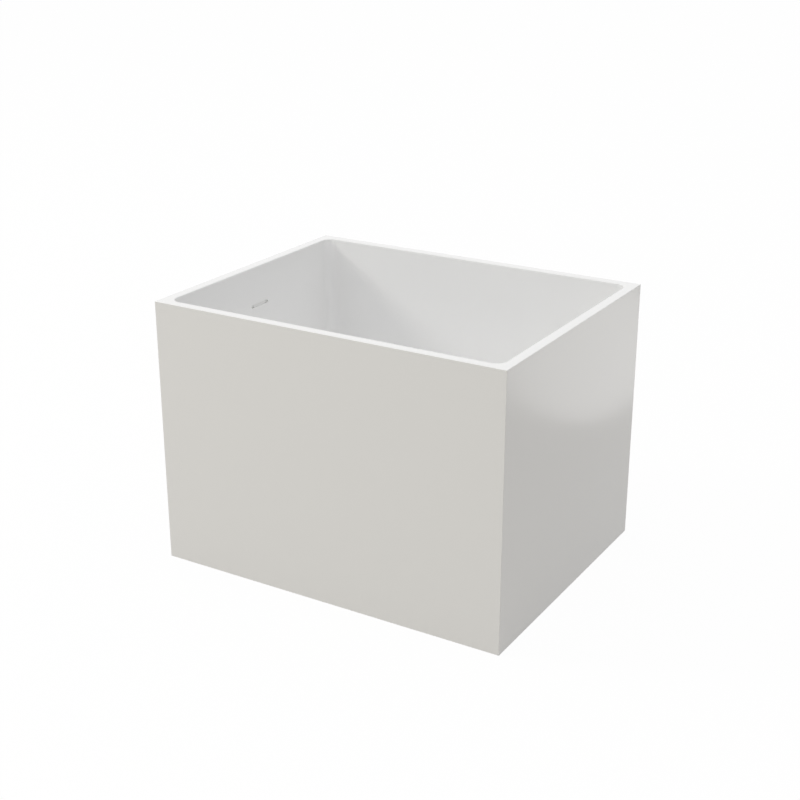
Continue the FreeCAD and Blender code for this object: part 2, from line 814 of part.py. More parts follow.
def overflow_box():
    """Slim moulded box behind the slot, with a spigot for the hose."""
    reach = box_width / 2 + box_flange_width
    flange = wall_slab(reach, box_bottom - box_flange_width, box_top + box_flange_width, gasket_face,
                       gasket_face + box_flange_thickness)
    tray = prism_y([(box_back, box_bottom), (wall_x(box_bottom, gasket_face), box_bottom),
                    (wall_x(box_top, gasket_face), box_top), (box_back, box_top)], -box_width / 2, box_width / 2)
    inside_low = box_bottom + box_wall
    inside_top = box_top - box_wall
    hollow = prism_y([(box_back + box_wall, inside_low), (wall_x(inside_low, 0), inside_low),
                      (wall_x(inside_top, 0), inside_top), (box_back + box_wall, inside_top)],
                     -box_inside_half, box_inside_half)
    spigot = rod(spigot_radius, V(spigot_x, 0, box_bottom - spigot_length), V(spigot_x, 0, inside_low))
    bore = rod(spigot_radius - spigot_wall, V(spigot_x, 0, box_bottom - spigot_length - overrun),
               V(spigot_x, 0, inside_low + overrun))
    return fused([flange, tray]).cut(hollow).fuse(spigot).cut(bore).removeSplitter()


# Overflow hose

hose_top = box_bottom - box_flange_width - hose_end_gap
hose_drop_x = hose_radius + hose_side_gap - batten_inner_x
hose_end_x = waste_x - body_radius - hose_end_gap
hose_foot_bend_radius = hose_end_x - hose_cuff - hose_cuff_margin - hose_drop_x


def hose_pieces():
    """Straight runs and arcs of the hose's middle line: start, direction, length and turn rate of each.

    The hose leaves the box straight down, leans out from under the rim in one long
    double bend, drops beside the batten and turns in one wide bend to the waste.
    """
    lean_top = hose_top - hose_cuff
    lean_bottom = inlet_height + hose_foot_bend_radius + hose_foot_run
    lean_drop = lean_top - lean_bottom
    aside = hose_drop_x - spigot_x
    turn = 2 * math.atan(aside / lean_drop)
    rate = 2 * math.sin(turn) / lean_drop
    arc = turn / rate if rate else lean_drop / 2
    down = -math.pi / 2
    foot_x = hose_drop_x + hose_foot_bend_radius
    foot_top = inlet_height + hose_foot_bend_radius
    return [((spigot_x, hose_top), down, hose_cuff, 0),
            ((spigot_x, lean_top), down, arc, rate),
            (((spigot_x + hose_drop_x) / 2, (lean_top + lean_bottom) / 2), down + turn, arc, -rate),
            ((hose_drop_x, lean_bottom), down, hose_foot_run, 0),
            ((hose_drop_x, foot_top), down, hose_foot_bend_radius * math.pi / 2, 1 / hose_foot_bend_radius),
            ((foot_x, inlet_height), 0, hose_end_x - foot_x, 0)]


def hose_station(pieces, along):
    """Point and direction of the hose's middle line at a distance along it."""
    for (x, z), heading, length, rate in pieces[:-1]:
        if along <= length:
            break
        along -= length
    else:
        (x, z), heading, length, rate = pieces[-1]
    if rate:
        end = heading + rate * along
        x += (math.sin(end) - math.sin(heading)) / rate
        z -= (math.cos(end) - math.cos(heading)) / rate
        return V(x, 0, z), V(math.cos(end), 0, math.sin(end))
    return V(x + along * math.cos(heading), 0, z + along * math.sin(heading)), V(math.cos(heading), 0, math.sin(heading))


def hose_circle(pieces, along, radius):
    """Circle round the middle line, always started from the same side of the tub."""
    place, direction = hose_station(pieces, along)
    circle = Part.Wire(Part.Circle(V(0, 0, 0), V(0, 0, 1), radius).toShape())
    circle.Placement = FreeCAD.Placement(place, FreeCAD.Rotation(V(0, 1, 0), V(0, 0, 0), direction, "XZY"))
    return circle


def overflow_hose():
    """Ribbed hose with plain cuffs, from the overflow box down to the waste body."""
    pieces = hose_pieces()
    length = sum(piece[2] for piece in pieces)
    ribbed = length - 2 * hose_cuff
    ribs = int(ribbed / hose_rib_pitch)
    pitch = ribbed / ribs
    stations = [(0, hose_radius)]
    crest = rib_crest_share * pitch
    root_start = crest + rib_flank_share * pitch
    root_end = root_start + rib_root_share * pitch
    for rib in range(ribs):
        low = hose_cuff + rib * pitch
        stations += [(low, hose_radius), (low + crest, hose_radius),
                     (low + root_start, hose_root_radius), (low + root_end, hose_root_radius)]
    stations += [(length - hose_cuff, hose_radius), (length, hose_radius)]
    outside = Part.makeLoft([hose_circle(pieces, along, radius) for along, radius in stations], True, True)
    bore_places = [0] + [hose_cuff + rib * pitch for rib in range(0, ribs, 2)] + [length - hose_cuff, length]
    bore = Part.makeLoft([hose_circle(pieces, along, hose_bore_radius) for along in bore_places], True, True)
    print("overflow hose: length %.1f, ribs %d, foot bend radius %.0f" % (length, ribs, hose_foot_bend_radius))
    return outside.cut(bore)


def hose_clip(middle, axis):
    """Worm-drive clip round a hose cuff."""
    inner = hose_radius + hose_clip_gap
    outer = inner + hose_clip_thickness
    start = middle - axis * (hose_clip_width / 2)
    end = middle + axis * (hose_clip_width / 2)
    housing = Part.makeBox(clip_housing_length, clip_housing_height, hose_clip_width)
    housing.translate(V(-clip_housing_length / 2, inner, -hose_clip_width / 2))
    housing.Placement = FreeCAD.Placement(
        middle, FreeCAD.Rotation(V(0, 0, 0), V(0, 1, 0), axis, "YZX")).multiply(housing.Placement)
    return fused([rod(outer, start, end), housing]).cut(rod(inner, start - axis * overrun, end + axis * overrun))


# Nodes

save("basin_shell", basin_shell())
save("basin_laminate", basin_laminate())
save("skirt_laminate", skirt_laminate())
for side, sign_x, sign_y in (("front", 0, -1), ("right", 1, 0), ("back", 0, 1), ("left", -1, 0)):
    save("skirt_" + side, skirt_panel(sign_x, sign_y))
    save("rim_rail_" + side, rim_rail(sign_x, sign_y))
    save("foot_batten_" + side, foot_batten(sign_x, sign_y))

save("base_board", base_board())
save("board_packers", *board_packers())
save("board_screws", *board_screws())
save("rail_clips", *rail_clips())
save("clip_screws", *clip_screws())
for place, rail_y in zip(("front", "back"), long_rail_places):
    save("long_rail_" + place, long_rail(rail_y))
for place, rail_x in zip(("left", "middle", "right"), cross_rail_places):
    save("cross_rail_" + place, cross_rail(rail_x))

save("foot_weld_nuts", *weld_nuts())
save("foot_lock_nuts", *lock_nuts())
for number, (foot_x, foot_y) in enumerate(foot_places(), start=1):
    save("foot_%d_pad" % number, foot_pad(foot_x, foot_y))
    save("foot_%d_stem" % number, foot_stem(foot_x, foot_y))

save("waste_flange", waste_flange())
save("waste_flange_seal", flange_seal())
save("waste_under_seal", under_seal())
save("waste_body", waste_body())
save("tail_pipe", tail_pipe())
save("tail_washer", tail_washer())
save("tail_nut", tail_nut())
save("stopper_cap", stopper_cap())
save("stopper_seal", stopper_seal())
save("stopper_stem", stopper_stem())
save("stopper_guide", stopper_guide())

save("overflow_cover", overflow_cover())
save("overflow_gasket", overflow_gasket())
save("overflow_box", overflow_box())
save("overflow_hose", overflow_hose())
save("hose_clip_upper", hose_clip(V(spigot_x, 0, hose_top - hose_clip_inset - hose_clip_width / 2), V(0, 0, 1)))
save("hose_clip_lower", hose_clip(V(hose_end_x - hose_clip_inset - hose_clip_width / 2, 0, inlet_height), V(1, 0, 0)))
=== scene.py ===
"""A free-standing rectangular soaking tub: its modelled surfaces, finishes, lights and camera."""

import json
import logging
import math
from dataclasses import dataclass
from enum import Enum
from typing import Any, Mapping, Sequence

import bmesh
import bpy
import numpy as np
from mathutils import Matrix, Vector


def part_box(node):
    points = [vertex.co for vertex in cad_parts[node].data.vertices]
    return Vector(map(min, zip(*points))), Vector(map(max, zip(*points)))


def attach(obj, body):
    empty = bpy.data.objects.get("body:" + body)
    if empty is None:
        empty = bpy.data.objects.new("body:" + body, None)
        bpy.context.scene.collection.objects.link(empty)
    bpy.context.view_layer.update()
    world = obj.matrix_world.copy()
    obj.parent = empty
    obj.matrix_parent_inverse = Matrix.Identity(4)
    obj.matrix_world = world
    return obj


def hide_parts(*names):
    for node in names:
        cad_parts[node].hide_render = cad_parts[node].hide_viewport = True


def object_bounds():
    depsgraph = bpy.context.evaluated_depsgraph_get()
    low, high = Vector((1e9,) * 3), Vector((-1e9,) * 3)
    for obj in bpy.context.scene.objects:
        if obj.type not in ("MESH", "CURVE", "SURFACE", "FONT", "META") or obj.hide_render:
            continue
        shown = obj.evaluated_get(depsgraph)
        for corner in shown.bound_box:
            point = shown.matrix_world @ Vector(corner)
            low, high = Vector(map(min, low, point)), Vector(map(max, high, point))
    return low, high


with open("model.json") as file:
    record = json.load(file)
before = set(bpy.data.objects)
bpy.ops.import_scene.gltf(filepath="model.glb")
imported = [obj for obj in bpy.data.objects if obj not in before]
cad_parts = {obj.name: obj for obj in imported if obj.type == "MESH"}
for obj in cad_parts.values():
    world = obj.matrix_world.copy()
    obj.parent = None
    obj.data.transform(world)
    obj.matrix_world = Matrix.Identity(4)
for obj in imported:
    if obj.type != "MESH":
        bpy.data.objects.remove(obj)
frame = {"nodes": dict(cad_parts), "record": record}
CAD_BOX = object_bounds()
LOG = logging.getLogger("tub")

Array = np.ndarray
Pair = tuple[float, float]
Span = Pair
Triple = tuple[float, float, float]
Colour = Triple
Socket = bpy.types.NodeSocket

MM = 0.001
QUARTER = math.pi / 2
WHOLE = 2 * math.pi
SAME_POINT = 0.001 * MM
MOST_OF_A_SIDE = 0.48
NOISE_SPAN: Span = (0.3, 0.7)


class Axis(Enum):
    """Direction that a finish or a piece lies along."""

    X = 0
    Y = 1
    Z = 2

    @property
    def vector(self) -> Triple:
        """Unit vector along the axis."""
        return tuple(1.0 if place == self.value else 0.0 for place in range(3))


# Surfaces

@dataclass
class Skin:
    """One closed surface, given as a grid of points.

    Rows run along the shape and columns run round it. An end row that isn't a
    point gets a flat cap, unless the rows close on themselves.
    """

    points: Array
    closed_rows: bool = False

    def vertices(self) -> Array:
        """All the grid's points, one below another."""
        return self.points.reshape(-1, 3)

    def faces(self, first: int) -> list[list[int]]:
        """Corner numbers of every face.

        Each face joins a point to its neighbour round the row and to the same two
        points of the next row.

        Args:
            first: Number of the grid's first point in the whole mesh.

        Returns:
            The quads, with caps last.
        """
        rows, columns = self.points.shape[:2]
        row, column = np.meshgrid(np.arange(rows if self.closed_rows else rows - 1), np.arange(columns),
                                  indexing="ij")
        below = (row + 1) % rows
        beside = (column + 1) % columns
        quads = np.stack([row * columns + column, row * columns + beside,
                          below * columns + beside, below * columns + column], axis=-1)
        found = (quads.reshape(-1, 4) + first).tolist()
        if not self.closed_rows:
            for end in (0, rows - 1):
                if np.ptp(self.points[end], axis=0).max() > SAME_POINT:
                    found.append((np.arange(columns) + end * columns + first).tolist())
        return found


def new_piece(name: str, skins: Sequence[Skin], sharp_degrees: float = 32.0) -> bpy.types.Object:
    """Make one object from closed surfaces, with outward faces and normals that favour the large faces.

    Args:
        name: Name of the object.
        skins: The surfaces that it holds.
        sharp_degrees: Edges that turn more than this stay crisp.

    Returns:
        The new object, at the origin.
    """
    vertices = np.concatenate([skin.vertices() for skin in skins])
    faces: list[list[int]] = []
    first = 0
    for skin in skins:
        faces += skin.faces(first)
        first += len(skin.vertices())
    mesh = bpy.data.meshes.new(name)
    mesh.from_pydata(vertices.tolist(), [], faces)
    sew(mesh)
    piece = bpy.data.objects.new(name, mesh)
    bpy.context.scene.collection.objects.link(piece)
    soften(piece, sharp_degrees)
    return piece


def sew(mesh: bpy.types.Mesh) -> None:
    """Merge the doubled points of poles and seams, then turn every face outwards.

    Args:
        mesh: The mesh to mend.
    """
    shape = bmesh.new()
    shape.from_mesh(mesh)
    bmesh.ops.remove_doubles(shape, verts=shape.verts, dist=SAME_POINT)
    bmesh.ops.recalc_face_normals(shape, faces=shape.faces)
    shape.to_mesh(mesh)
    shape.free()


def soften(piece: bpy.types.Object, sharp_degrees: float) -> None:
    """Shade smoothly, keep edges past an angle crisp, and weigh normals by face area.

    The angle of an edge is that between the normals of its two faces.

    Args:
        piece: The object to shade.
        sharp_degrees: Edges that turn more than this stay crisp.
    """
    mesh = piece.data
    mesh.shade_smooth()
    normals = read(mesh.polygons, "normal", 3)
    corners = read(mesh.polygons, "loop_total", 1).astype(int).ravel()
    edges = read(mesh.loops, "edge_index", 1).astype(int).ravel()
    owners = np.repeat(np.arange(len(corners)), corners)
    first, last = np.zeros((2, len(mesh.edges)), int)
    last[edges] = owners
    first[edges[::-1]] = owners[::-1]
    crisp = (normals[first] * normals[last]).sum(axis=1) < math.cos(math.radians(sharp_degrees))
    marks = mesh.attributes.get("sharp_edge") or mesh.attributes.new("sharp_edge", "BOOLEAN", "EDGE")
    marks.data.foreach_set("value", crisp)
    weigh = piece.modifiers.new("weighed_normals", "WEIGHTED_NORMAL")
    weigh.keep_sharp = True


def read(items: Any, name: str, width: int) -> Array:
    """Read one attribute of every item of a mesh.

    Args:
        items: The mesh's points, edges, corners or faces.
        name: The attribute.
        width: Numbers that it has for each item.

    Returns:
        One row for each item.
    """
    values = np.empty(len(items) * width)
    items.foreach_get(name, values)
    return values.reshape(-1, width)


def carve(piece: bpy.types.Object, cutter: bpy.types.Object) -> None:
    """Cut one shape out of a piece for good, and remove the cutter.

    Args:
        piece: The object that is cut.
        cutter: The object that says what is cut away.
    """
    piece.modifiers.clear()
    cut = piece.modifiers.new("cut", "BOOLEAN")
    cut.operation = "DIFFERENCE"
    cut.solver = "EXACT"
    cut.object = cutter
    bpy.context.view_layer.update()
    carved = bpy.data.meshes.new_from_object(piece.evaluated_get(bpy.context.evaluated_depsgraph_get()))
    piece.modifiers.clear()
    piece.data = carved
    bpy.data.objects.remove(cutter)


def rounded(points: Sequence[Pair], cut: float, closed: bool = True, steps: int = 5) -> Array:
    """Outline with each corner replaced by a short curve.

    The curve runs from a point before the corner to one after it as
    (1-t)^2 start + 2t(1-t) corner + t^2 end.

    Args:
        points: Corners, in order.
        cut: Distance from the corner at which its curve starts and ends, held under half a side.
        closed: Whether the last corner joins the first; if not, both ends stay.
        steps: Spans in each curve.

    Returns:
        Points of the outline, one below another.
    """
    corner = np.array(points, float)
    before = np.roll(corner, 1, axis=0) - corner
    after = np.roll(corner, -1, axis=0) - corner
    shorter = np.minimum(np.linalg.norm(before, axis=1), np.linalg.norm(after, axis=1))
    reach = np.minimum(cut, MOST_OF_A_SIDE * shorter)
    start = corner + before / np.linalg.norm(before, axis=1)[:, None] * reach[:, None]
    end = corner + after / np.linalg.norm(after, axis=1)[:, None] * reach[:, None]
    t = np.linspace(0, 1, steps + 1)[None, :, None]
    curves = (1 - t) ** 2 * start[:, None] + 2 * t * (1 - t) * corner[:, None] + t ** 2 * end[:, None]
    if closed:
        return curves.reshape(-1, 2)
    return np.concatenate([corner[:1], curves[1:-1].reshape(-1, 2), corner[-1:]])


def framed(left: float, right: float, low: float, high: float, cut: float) -> Array:
    """Outline of a rectangle with its corners replaced by short curves."""
    return rounded([(left, low), (right, low), (right, high), (left, high)], cut)


def box_of(node: str) -> tuple[Array, Array]:
    """Lowest and highest corner of a node's solid."""
    low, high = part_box(node)
    return np.array(low), np.array(high)


def cross_directions(axis: Array) -> tuple[Array, Array]:
    """Find two unit vectors at right angles to an axis and to each other.

    Args:
        axis: Unit vector of the axis.

    Returns:
        The vector at angle zero, and the one a quarter turn on.
    """
    helper = np.array([0.0, 1.0, 0.0]) if abs(axis[1]) < 0.9 else np.array([0.0, 0.0, 1.0])
    aside = np.cross(helper, axis)
    aside /= np.linalg.norm(aside)
    return aside, np.cross(axis, aside)


def spun(radius: Array, height: Array, seat: Sequence[float], axis: Sequence[float] = (0, 0, 1),
         closed: bool = True) -> Skin:
    """Surface from a radius for every row and column, and a height for every row.

    A point is seat + radius cos(angle) aside + radius sin(angle) across + height axis.

    Args:
        radius: Radii, with a column for each angle.
        height: Height of each row along the axis.
        seat: Point of the axis at height zero.
        axis: Unit vector of the axis.
        closed: Whether the rows close on themselves.

    Returns:
        The surface.
    """
    along = np.array(axis, float)
    aside, across = cross_directions(along)
    angle = np.arange(radius.shape[1]) / radius.shape[1] * WHOLE
    x, y = (radius * np.cos(angle))[..., None], (radius * np.sin(angle))[..., None]
    return Skin(np.array(seat) + x * aside + y * across + height[:, None, None] * along, closed)


def turned(outline: Array, seat: Sequence[float], closed: bool = True, columns: int = 96,
           axis: Sequence[float] = (0, 0, 1)) -> Skin:
    """Surface of a (radius, height) outline turned about an axis through a seat."""
    return spun(np.repeat(outline[:, :1], columns, axis=1), outline[:, 1], seat, axis, closed)


def six_sided(width: float, columns: int, sharpness: float = 60.0) -> Array:
    """Radius of a hexagon at each angle, with its corners a little rounded.

    The radius is half the width over the sharpness-norm of the three cosines to the
    flats, which is the largest cosine as the sharpness grows. One corner lies at angle zero.

    Args:
        width: Size across the flats.
        columns: Angles in a whole turn.
        sharpness: Power of the norm.

    Returns:
        One radius for each angle.
    """
    angle = np.arange(columns) / columns * WHOLE
    flats = np.abs(np.cos(angle[:, None] - (np.arange(3) + 0.5) * WHOLE / 6))
    return width / 2 * (flats ** sharpness).sum(axis=1) ** (-1 / sharpness)


def hexagon_bar(width: float, low: float, high: float, bore: float, seat: Sequence[float],
                columns: int = 72, steps: int = 5) -> Skin:
    """Hexagonal nut or bar with chamfered ends.

    A row's radius is the hexagon's, held inside a cone at each end that starts at 0.96 of
    half the width, opens at 60 degrees to the axis, and passes the corners within a rise
    of 0.12 of half the width.

    Args:
        width: Size across the flats.
        low: Height of its lower end.
        high: Height of its upper end.
        bore: Radius of its hole, or 0 for none.
        seat: Point of the axis at height zero.
        columns: Points round the axis.
        steps: Rows in each chamfer.

    Returns:
        The surface.
    """
    chamfer_radius, chamfer_rise = 0.96 * width / 2, 0.12 * width / 2
    rise = np.linspace(0, chamfer_rise, steps + 1)
    height = np.concatenate([low + rise, high - rise[::-1]])
    cone = chamfer_radius + np.minimum(height - low, high - height) * math.sqrt(3)
    radius = np.minimum(six_sided(width, columns), cone[:, None])
    hole = np.full((1, columns), bore)
    return spun(np.concatenate([hole, radius, hole]), np.concatenate([[low], height, [high]]), seat,
                closed=bore > 0)


def screw_thread(radius: float, depth: float, pitch: float, low: float, high: float, seat: Sequence[float],
                 columns: int = 28, steps: int = 8) -> Skin:
    """Right-handed thread with flat crests and roots.

    At height h and angle a the radius follows 1.5 w - 0.25, held between 0 at the root and
    1 at the crest, where w is a triangle wave of h / pitch - a / turn. It shrinks over one
    pitch at both ends.

    Args:
        radius: Radius of the crests.
        depth: Depth of the roots below the crests.
        pitch: Rise in one turn.
        low: Height of its lower end.
        high: Height of its upper end.
        seat: Point of the axis at height zero.
        columns: Points round the axis.
        steps: Rows in one pitch.

    Returns:
        The surface.
    """
    height = np.linspace(low, high, int((high - low) / pitch * steps) + 1)
    phase = height[:, None] / pitch - np.arange(columns) / columns
    wave = np.clip(1.5 * np.abs(2 * (phase % 1) - 1) - 0.25, 0, 1)
    ends = np.clip(np.minimum(height - low, high - height) / pitch, 0, 1)[:, None]
    thread = radius - depth + depth * np.minimum(wave, ends)
    axis_row = np.zeros((1, columns))
    return spun(np.concatenate([axis_row, thread, axis_row]), np.concatenate([[low], height, [high]]), seat,
                closed=False)


# Basin

@dataclass(frozen=True)
class RoundedLoop:
    """Stations round a level rectangle with round corners, corner by corner."""

    corner_steps: int = 28
    side_steps: int = 22

    def stations(self) -> tuple[Array, Array]:
        """Place the stations.

        The signs hold still round a corner and slide from one corner to the next
        along a side, where the angle holds still.

        Returns:
            Signs of each station's corner centre, and its angle.
        """
        signs = np.array([[1, 1], [-1, 1], [-1, -1], [1, -1]], float)
        quarter = np.arange(4)[:, None]
        corner_angle = (quarter + np.linspace(0, 1, self.corner_steps + 1)) * QUARTER
        corner_signs = np.repeat(signs[:, None], self.corner_steps + 1, axis=1)
        share = (np.arange(1, self.side_steps) / self.side_steps)[None, :, None]
        side_signs = signs[:, None] + (np.roll(signs, -1, axis=0) - signs)[:, None] * share
        side_angle = np.repeat((quarter + 1) * QUARTER, self.side_steps - 1, axis=1)
        all_signs = np.concatenate([corner_signs, side_signs], axis=1).reshape(-1, 2)
        all_angles = np.concatenate([corner_angle, side_angle], axis=1).reshape(-1)
        return all_signs, all_angles

    def place(self, half_x: Array | float, half_y: Array | float, radius: Array | float,
              height: Array | float) -> Array:
        """Find the points of one loop: corner centre plus radius times (cos, sin) of the angle.

        Args:
            half_x: Half the rectangle's length.
            half_y: Half its width.
            radius: Radius of its corners.
            height: Height at which it lies.

        Returns:
            One point for each station.
        """
        signs, angle = self.stations()
        x = signs[:, 0] * (half_x - radius) + radius * np.cos(angle)
        y = signs[:, 1] * (half_y - radius) + radius * np.sin(angle)
        return np.stack([x, y, height + np.zeros_like(x)], axis=-1)


@dataclass(frozen=True)
class BasinForm:
    """Shape of the basin's inside, and of any surface at a set distance behind it."""

    half_length: float
    half_width: float
    height: float
    rim_width: float = 25 * MM
    draft: float = math.radians(6.5)
    fall: float = math.radians(0.5)
    floor_height: float = 150 * MM
    rim_corner_radius: float = 25 * MM
    floor_corner_radius: float = 46 * MM
    floor_edge_radius: float = 38 * MM
    waste_from_floor_end: float = 95 * MM
    recess_radius: float = 45 * MM
    recess_depth: float = 2.5 * MM
    recess_edge: float = 0.9 * MM
    hole_radius: float = 26 * MM
    hole_edge: float = 0.6 * MM
    loop: RoundedLoop = RoundedLoop()

    @property
    def waste_x(self) -> float:
        """Middle of the waste along the tub."""
        slope = (self.height - self.floor_height) * math.tan(self.draft)
        return self.waste_from_floor_end - (self.half_length - self.rim_width - slope)

    def wall_x(self, height: float, depth: float = 0.0) -> float:
        """X of the overflow-end wall at a height, at a distance behind its face."""
        return (self.rim_width - self.half_length + (self.height - height) * math.tan(self.draft)
                - depth / math.cos(self.draft))

    def section(self, height: Array | float, grow: float) -> tuple[Any, Any, Any]:
        """Measure the walls' level section.

        The walls lean in by tan draft times the way down from the rim, a surface behind
        the face stands out by grow / cos draft, and the corner radius changes evenly from
        the rim to the floor.

        Args:
            height: Height of the section.
            grow: Distance of the surface behind the basin's face.

        Returns:
            Half length, half width and corner radius.
        """
        inward = (self.height - height) * math.tan(self.draft) - grow / math.cos(self.draft)
        down = (self.height - height) / (self.height - self.floor_height)
        radius = self.rim_corner_radius + down * (self.floor_corner_radius - self.rim_corner_radius)
        return (self.half_length - self.rim_width - inward, self.half_width - self.rim_width - inward,
                radius + grow / math.cos(self.draft))

    def floor_z(self, x: Array | float, grow: float) -> Any:
        """Height of the falling floor, or of a surface below it."""
        return self.floor_height - grow / math.cos(self.fall) + (x - self.waste_x) * math.tan(self.fall)

    def layers(self, height: float, depth: Array, ring: Array) -> Array:
        """Set outlines square to the overflow-end wall, each at its depth behind the wall's face.

        A point is the face's point at the height, plus depth into the wall, plus across
        along the tub's width, plus up along the wall.

        Args:
            height: Height of the outlines' middle, on the wall's face.
            depth: Depth of each outline.
            ring: Points (across, up) of each outline, or of all of them.

        Returns:
            One row of points for each outline.
        """
        into = np.array([-math.cos(self.draft), 0, -math.sin(self.draft)])
        up = np.array([-math.sin(self.draft), 0, math.cos(self.draft)])
        across = np.array(Axis.Y.vector)
        face = np.array([self.wall_x(height), 0, height])
        return face + depth[:, None, None] * into + ring[..., :1] * across + ring[..., 1:] * up

    def foot_round(self, angle: float, grow: float) -> Array:
        """Make one row of the round between floor and wall.

        The round's centre lies its radius above the floor and inside the wall, so
        the row is the wall's section at the centre's height, moved in by
        radius (1 / cos draft - cos angle), and radius sin angle below the centre.
        The falling floor makes the height depend on the row's own X, which settles
        in a few rounds.

        Args:
            angle: Turn below level, from the draft at the wall to a quarter turn at the floor.
            grow: Distance of the surface behind the basin's face.

        Returns:
            One point for each station.
        """
        radius = self.floor_edge_radius + grow
        reach = radius * (math.cos(angle) - 1 / math.cos(self.draft))
        x = self.loop.stations()[0][:, 0] * self.half_length
        for _ in range(4):
            centre = self.floor_z(x, grow) + radius
            half_x, half_y, corner = self.section(centre, grow)
            row = self.loop.place(half_x + reach, half_y + reach, corner + reach,
                                  centre - radius * math.sin(angle))
            x = row[:, 0]
        return row

    def circle(self, outer: Array, radius: float, height: Array | float) -> Array:
        """Make a circle round the waste, each point on the line from the waste to its station.

        Args:
            outer: Points of the stations on the floor's edge.
            radius: Radius of the circle.
            height: Height at which it lies.

        Returns:
            One point for each station.
        """
        angle = np.arctan2(outer[:, 1], outer[:, 0] - self.waste_x)
        x = self.waste_x + radius * np.cos(angle)
        y = radius * np.sin(angle)
        return np.stack([x, y, height + np.zeros_like(x)], axis=-1)

    def face(self, grow: float, top: float, round_rows: int = 22, wall_rows: int = 10,
             floor_rows: int = 12) -> list[Array]:
        """Make the rows from the waste hole's edge out over the floor and up the walls.

        The edges of the hole and of the recess are quarter circles: at turn t a row's radius
        differs by edge (1 - cos t) or edge sin t, and its height by edge (1 - sin t) or
        edge cos t. Rows over the floor and up the walls share out the way between the rows
        at their ends evenly.

        Args:
            grow: Distance of the surface behind the basin's face.
            top: Height at which the walls end.
            round_rows: Rows of the round between floor and wall.
            wall_rows: Rows up the wall.
            floor_rows: Rows over the floor.

        Returns:
            The rows, from the middle of the floor outwards.
        """
        edge = self.foot_round(QUARTER, grow)
        low = self.floor_height - self.recess_depth - grow
        recess = self.recess_radius + grow
        corner = self.recess_edge
        rows = []
        side = 1 if grow else -1
        hole_turns, recess_turns = np.linspace(0, QUARTER, 5), np.linspace(QUARTER, 0, 6)
        for turn in hole_turns:
            rows.append(self.circle(edge, self.hole_radius + self.hole_edge * (1 - math.cos(turn)),
                                    low + side * self.hole_edge * (1 - math.sin(turn))))
        for turn in recess_turns:
            rows.append(self.circle(edge, recess - corner + corner * math.cos(turn),
                                    low + corner - corner * math.sin(turn)))
        for turn in recess_turns:
            ring = self.circle(edge, recess + corner - corner * math.sin(turn), 0)
            ring[:, 2] = self.floor_z(ring[:, 0], grow) - corner + corner * math.cos(turn)
            rows.append(ring)
        start = rows[-1]
        for share in np.linspace(0, 1, floor_rows + 1)[1:-1]:
            row = start + (edge - start) * share
            row[:, 2] = self.floor_z(row[:, 0], grow)
            rows.append(row)
        for angle in np.linspace(QUARTER, self.draft, round_rows + 1):
            rows.append(self.foot_round(angle, grow))
        start = rows[-1]
        end = self.loop.place(*self.section(top, grow), top)
        for share in np.linspace(0, 1, wall_rows + 1)[1:]:
            rows.append(start + (end - start) * share)
        return rows


